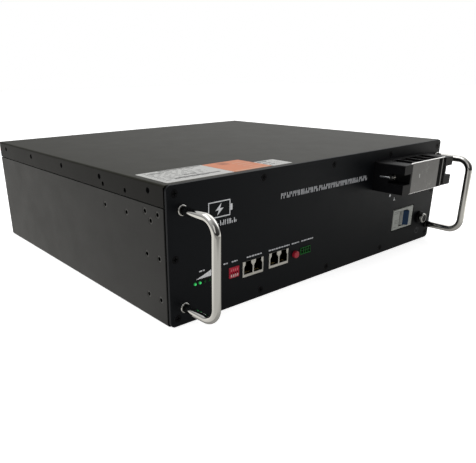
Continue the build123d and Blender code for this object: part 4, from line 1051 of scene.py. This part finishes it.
def whiten(material):
    """Seen directly the floor is burnt out, and in polished metal it darkens towards the front."""
    graph, shader = reopened(material)
    path = graph.add("LightPath")
    glow = graph.ranged(path.outputs["Is Camera Ray"], FLOOR_GLOW, FLOOR_GLOW_SEEN, 0.0, 1.0)
    graph.put(shader, "Emission Strength", glow)
    x, y = graph.axis("X"), graph.axis("Y")
    mirrored = graph.ranged(y, 0.52, 0.85, -0.24, -0.12)
    before = graph.math("LESS_THAN", y, PANEL_FACE)
    beside = graph.math("GREATER_THAN", x, panel_low.x)
    # A painted shadow: in front of the case the floor's glow seen in mirrors is dimmed.
    foot = graph.times(graph.ranged(y, 0.0, 0.6, -0.31, -0.19), beside)
    mirrored = graph.times(mirrored, graph.math("SUBTRACT", 1.0, foot))
    mirrored = graph.times(mirrored, graph.ranged(y, 0.5, 1.0, -0.56, -0.43))
    right = graph.times(graph.ranged(x, 0.0, 1.6, 0.25, 0.42), before)
    mirrored = graph.times(mirrored, graph.math("ADD", 1.0, right))
    plain = graph.add("Emission", Color=(1.0, 0.985, 0.94), Strength=mirrored)
    both = graph.add("MixShader")
    graph.put(both, "0", path.outputs["Is Glossy Ray"])
    graph.put(both, "1", shader.outputs[0])
    graph.put(both, "2", plain.outputs[0])
    out = [node for node in graph.tree.nodes if node.type == "OUTPUT_MATERIAL"][0]
    graph.put(out, "Surface", both.outputs[0])


whiten(floor_material)
floor_mesh.materials.append(floor_material)
bpy.context.scene.collection.objects.link(floor)


def make_world():
    world = bpy.data.worlds.new("studio")
    world.use_nodes = True
    bpy.context.scene.world = world
    graph = Graph(world.node_tree)
    way = graph.add("TexCoord").outputs["Generated"]
    split = graph.add("SeparateXYZ", Vector=way)
    behind = graph.ranged(split.outputs["Y"], 0.10, 1.0, -0.7, 0.2)
    rightward = graph.ranged(split.outputs["X"], 0.55, 1.45, 0.15, 0.9)
    seen = graph.add("LightPath").outputs["Is Camera Ray"]
    overhead = graph.ranged(split.outputs["Z"], 0.5, 1.35, 0.15, 0.75)
    studio = graph.times(graph.times(behind, rightward), overhead)
    strength = graph.math("MAXIMUM", studio, seen)
    light = graph.add("Background", Color=(1.0, 1.0, 1.0), Strength=strength)
    out = graph.add("OutputWorld")
    graph.put(out, "Surface", light.outputs[0])


def area_light(name, at, aim, size, power, colour=(1.0, 1.0, 1.0)):
    data = bpy.data.lights.new(name, "AREA")
    data.shape = "RECTANGLE"
    data.size, data.size_y = size
    data.energy = power
    data.color = colour
    made = bpy.data.objects.new(name, data)
    made.location = at
    made.rotation_euler = (Vector(aim) - Vector(at)).to_track_quat("-Z", "Y").to_euler()
    bpy.context.scene.collection.objects.link(made)


make_world()
area_light("key", (-0.9, 0.5, 1.8), (0.0, 0.0, 0.05), (1.6, 1.2), 10.0)
area_light("left_front", (-1.6, -1.4, 1.0), (0.0, -0.1, 0.05), (0.9, 1.2), 2.0, (1.0, 0.98, 0.95))
area_light("right", (1.6, -0.6, 1.2), (0.0, 0.0, 0.05), (0.9, 1.2), 3.0)
make_camera()
bpy.context.scene.view_settings.view_transform = "Standard"
bpy.context.scene.view_settings.look = "None"
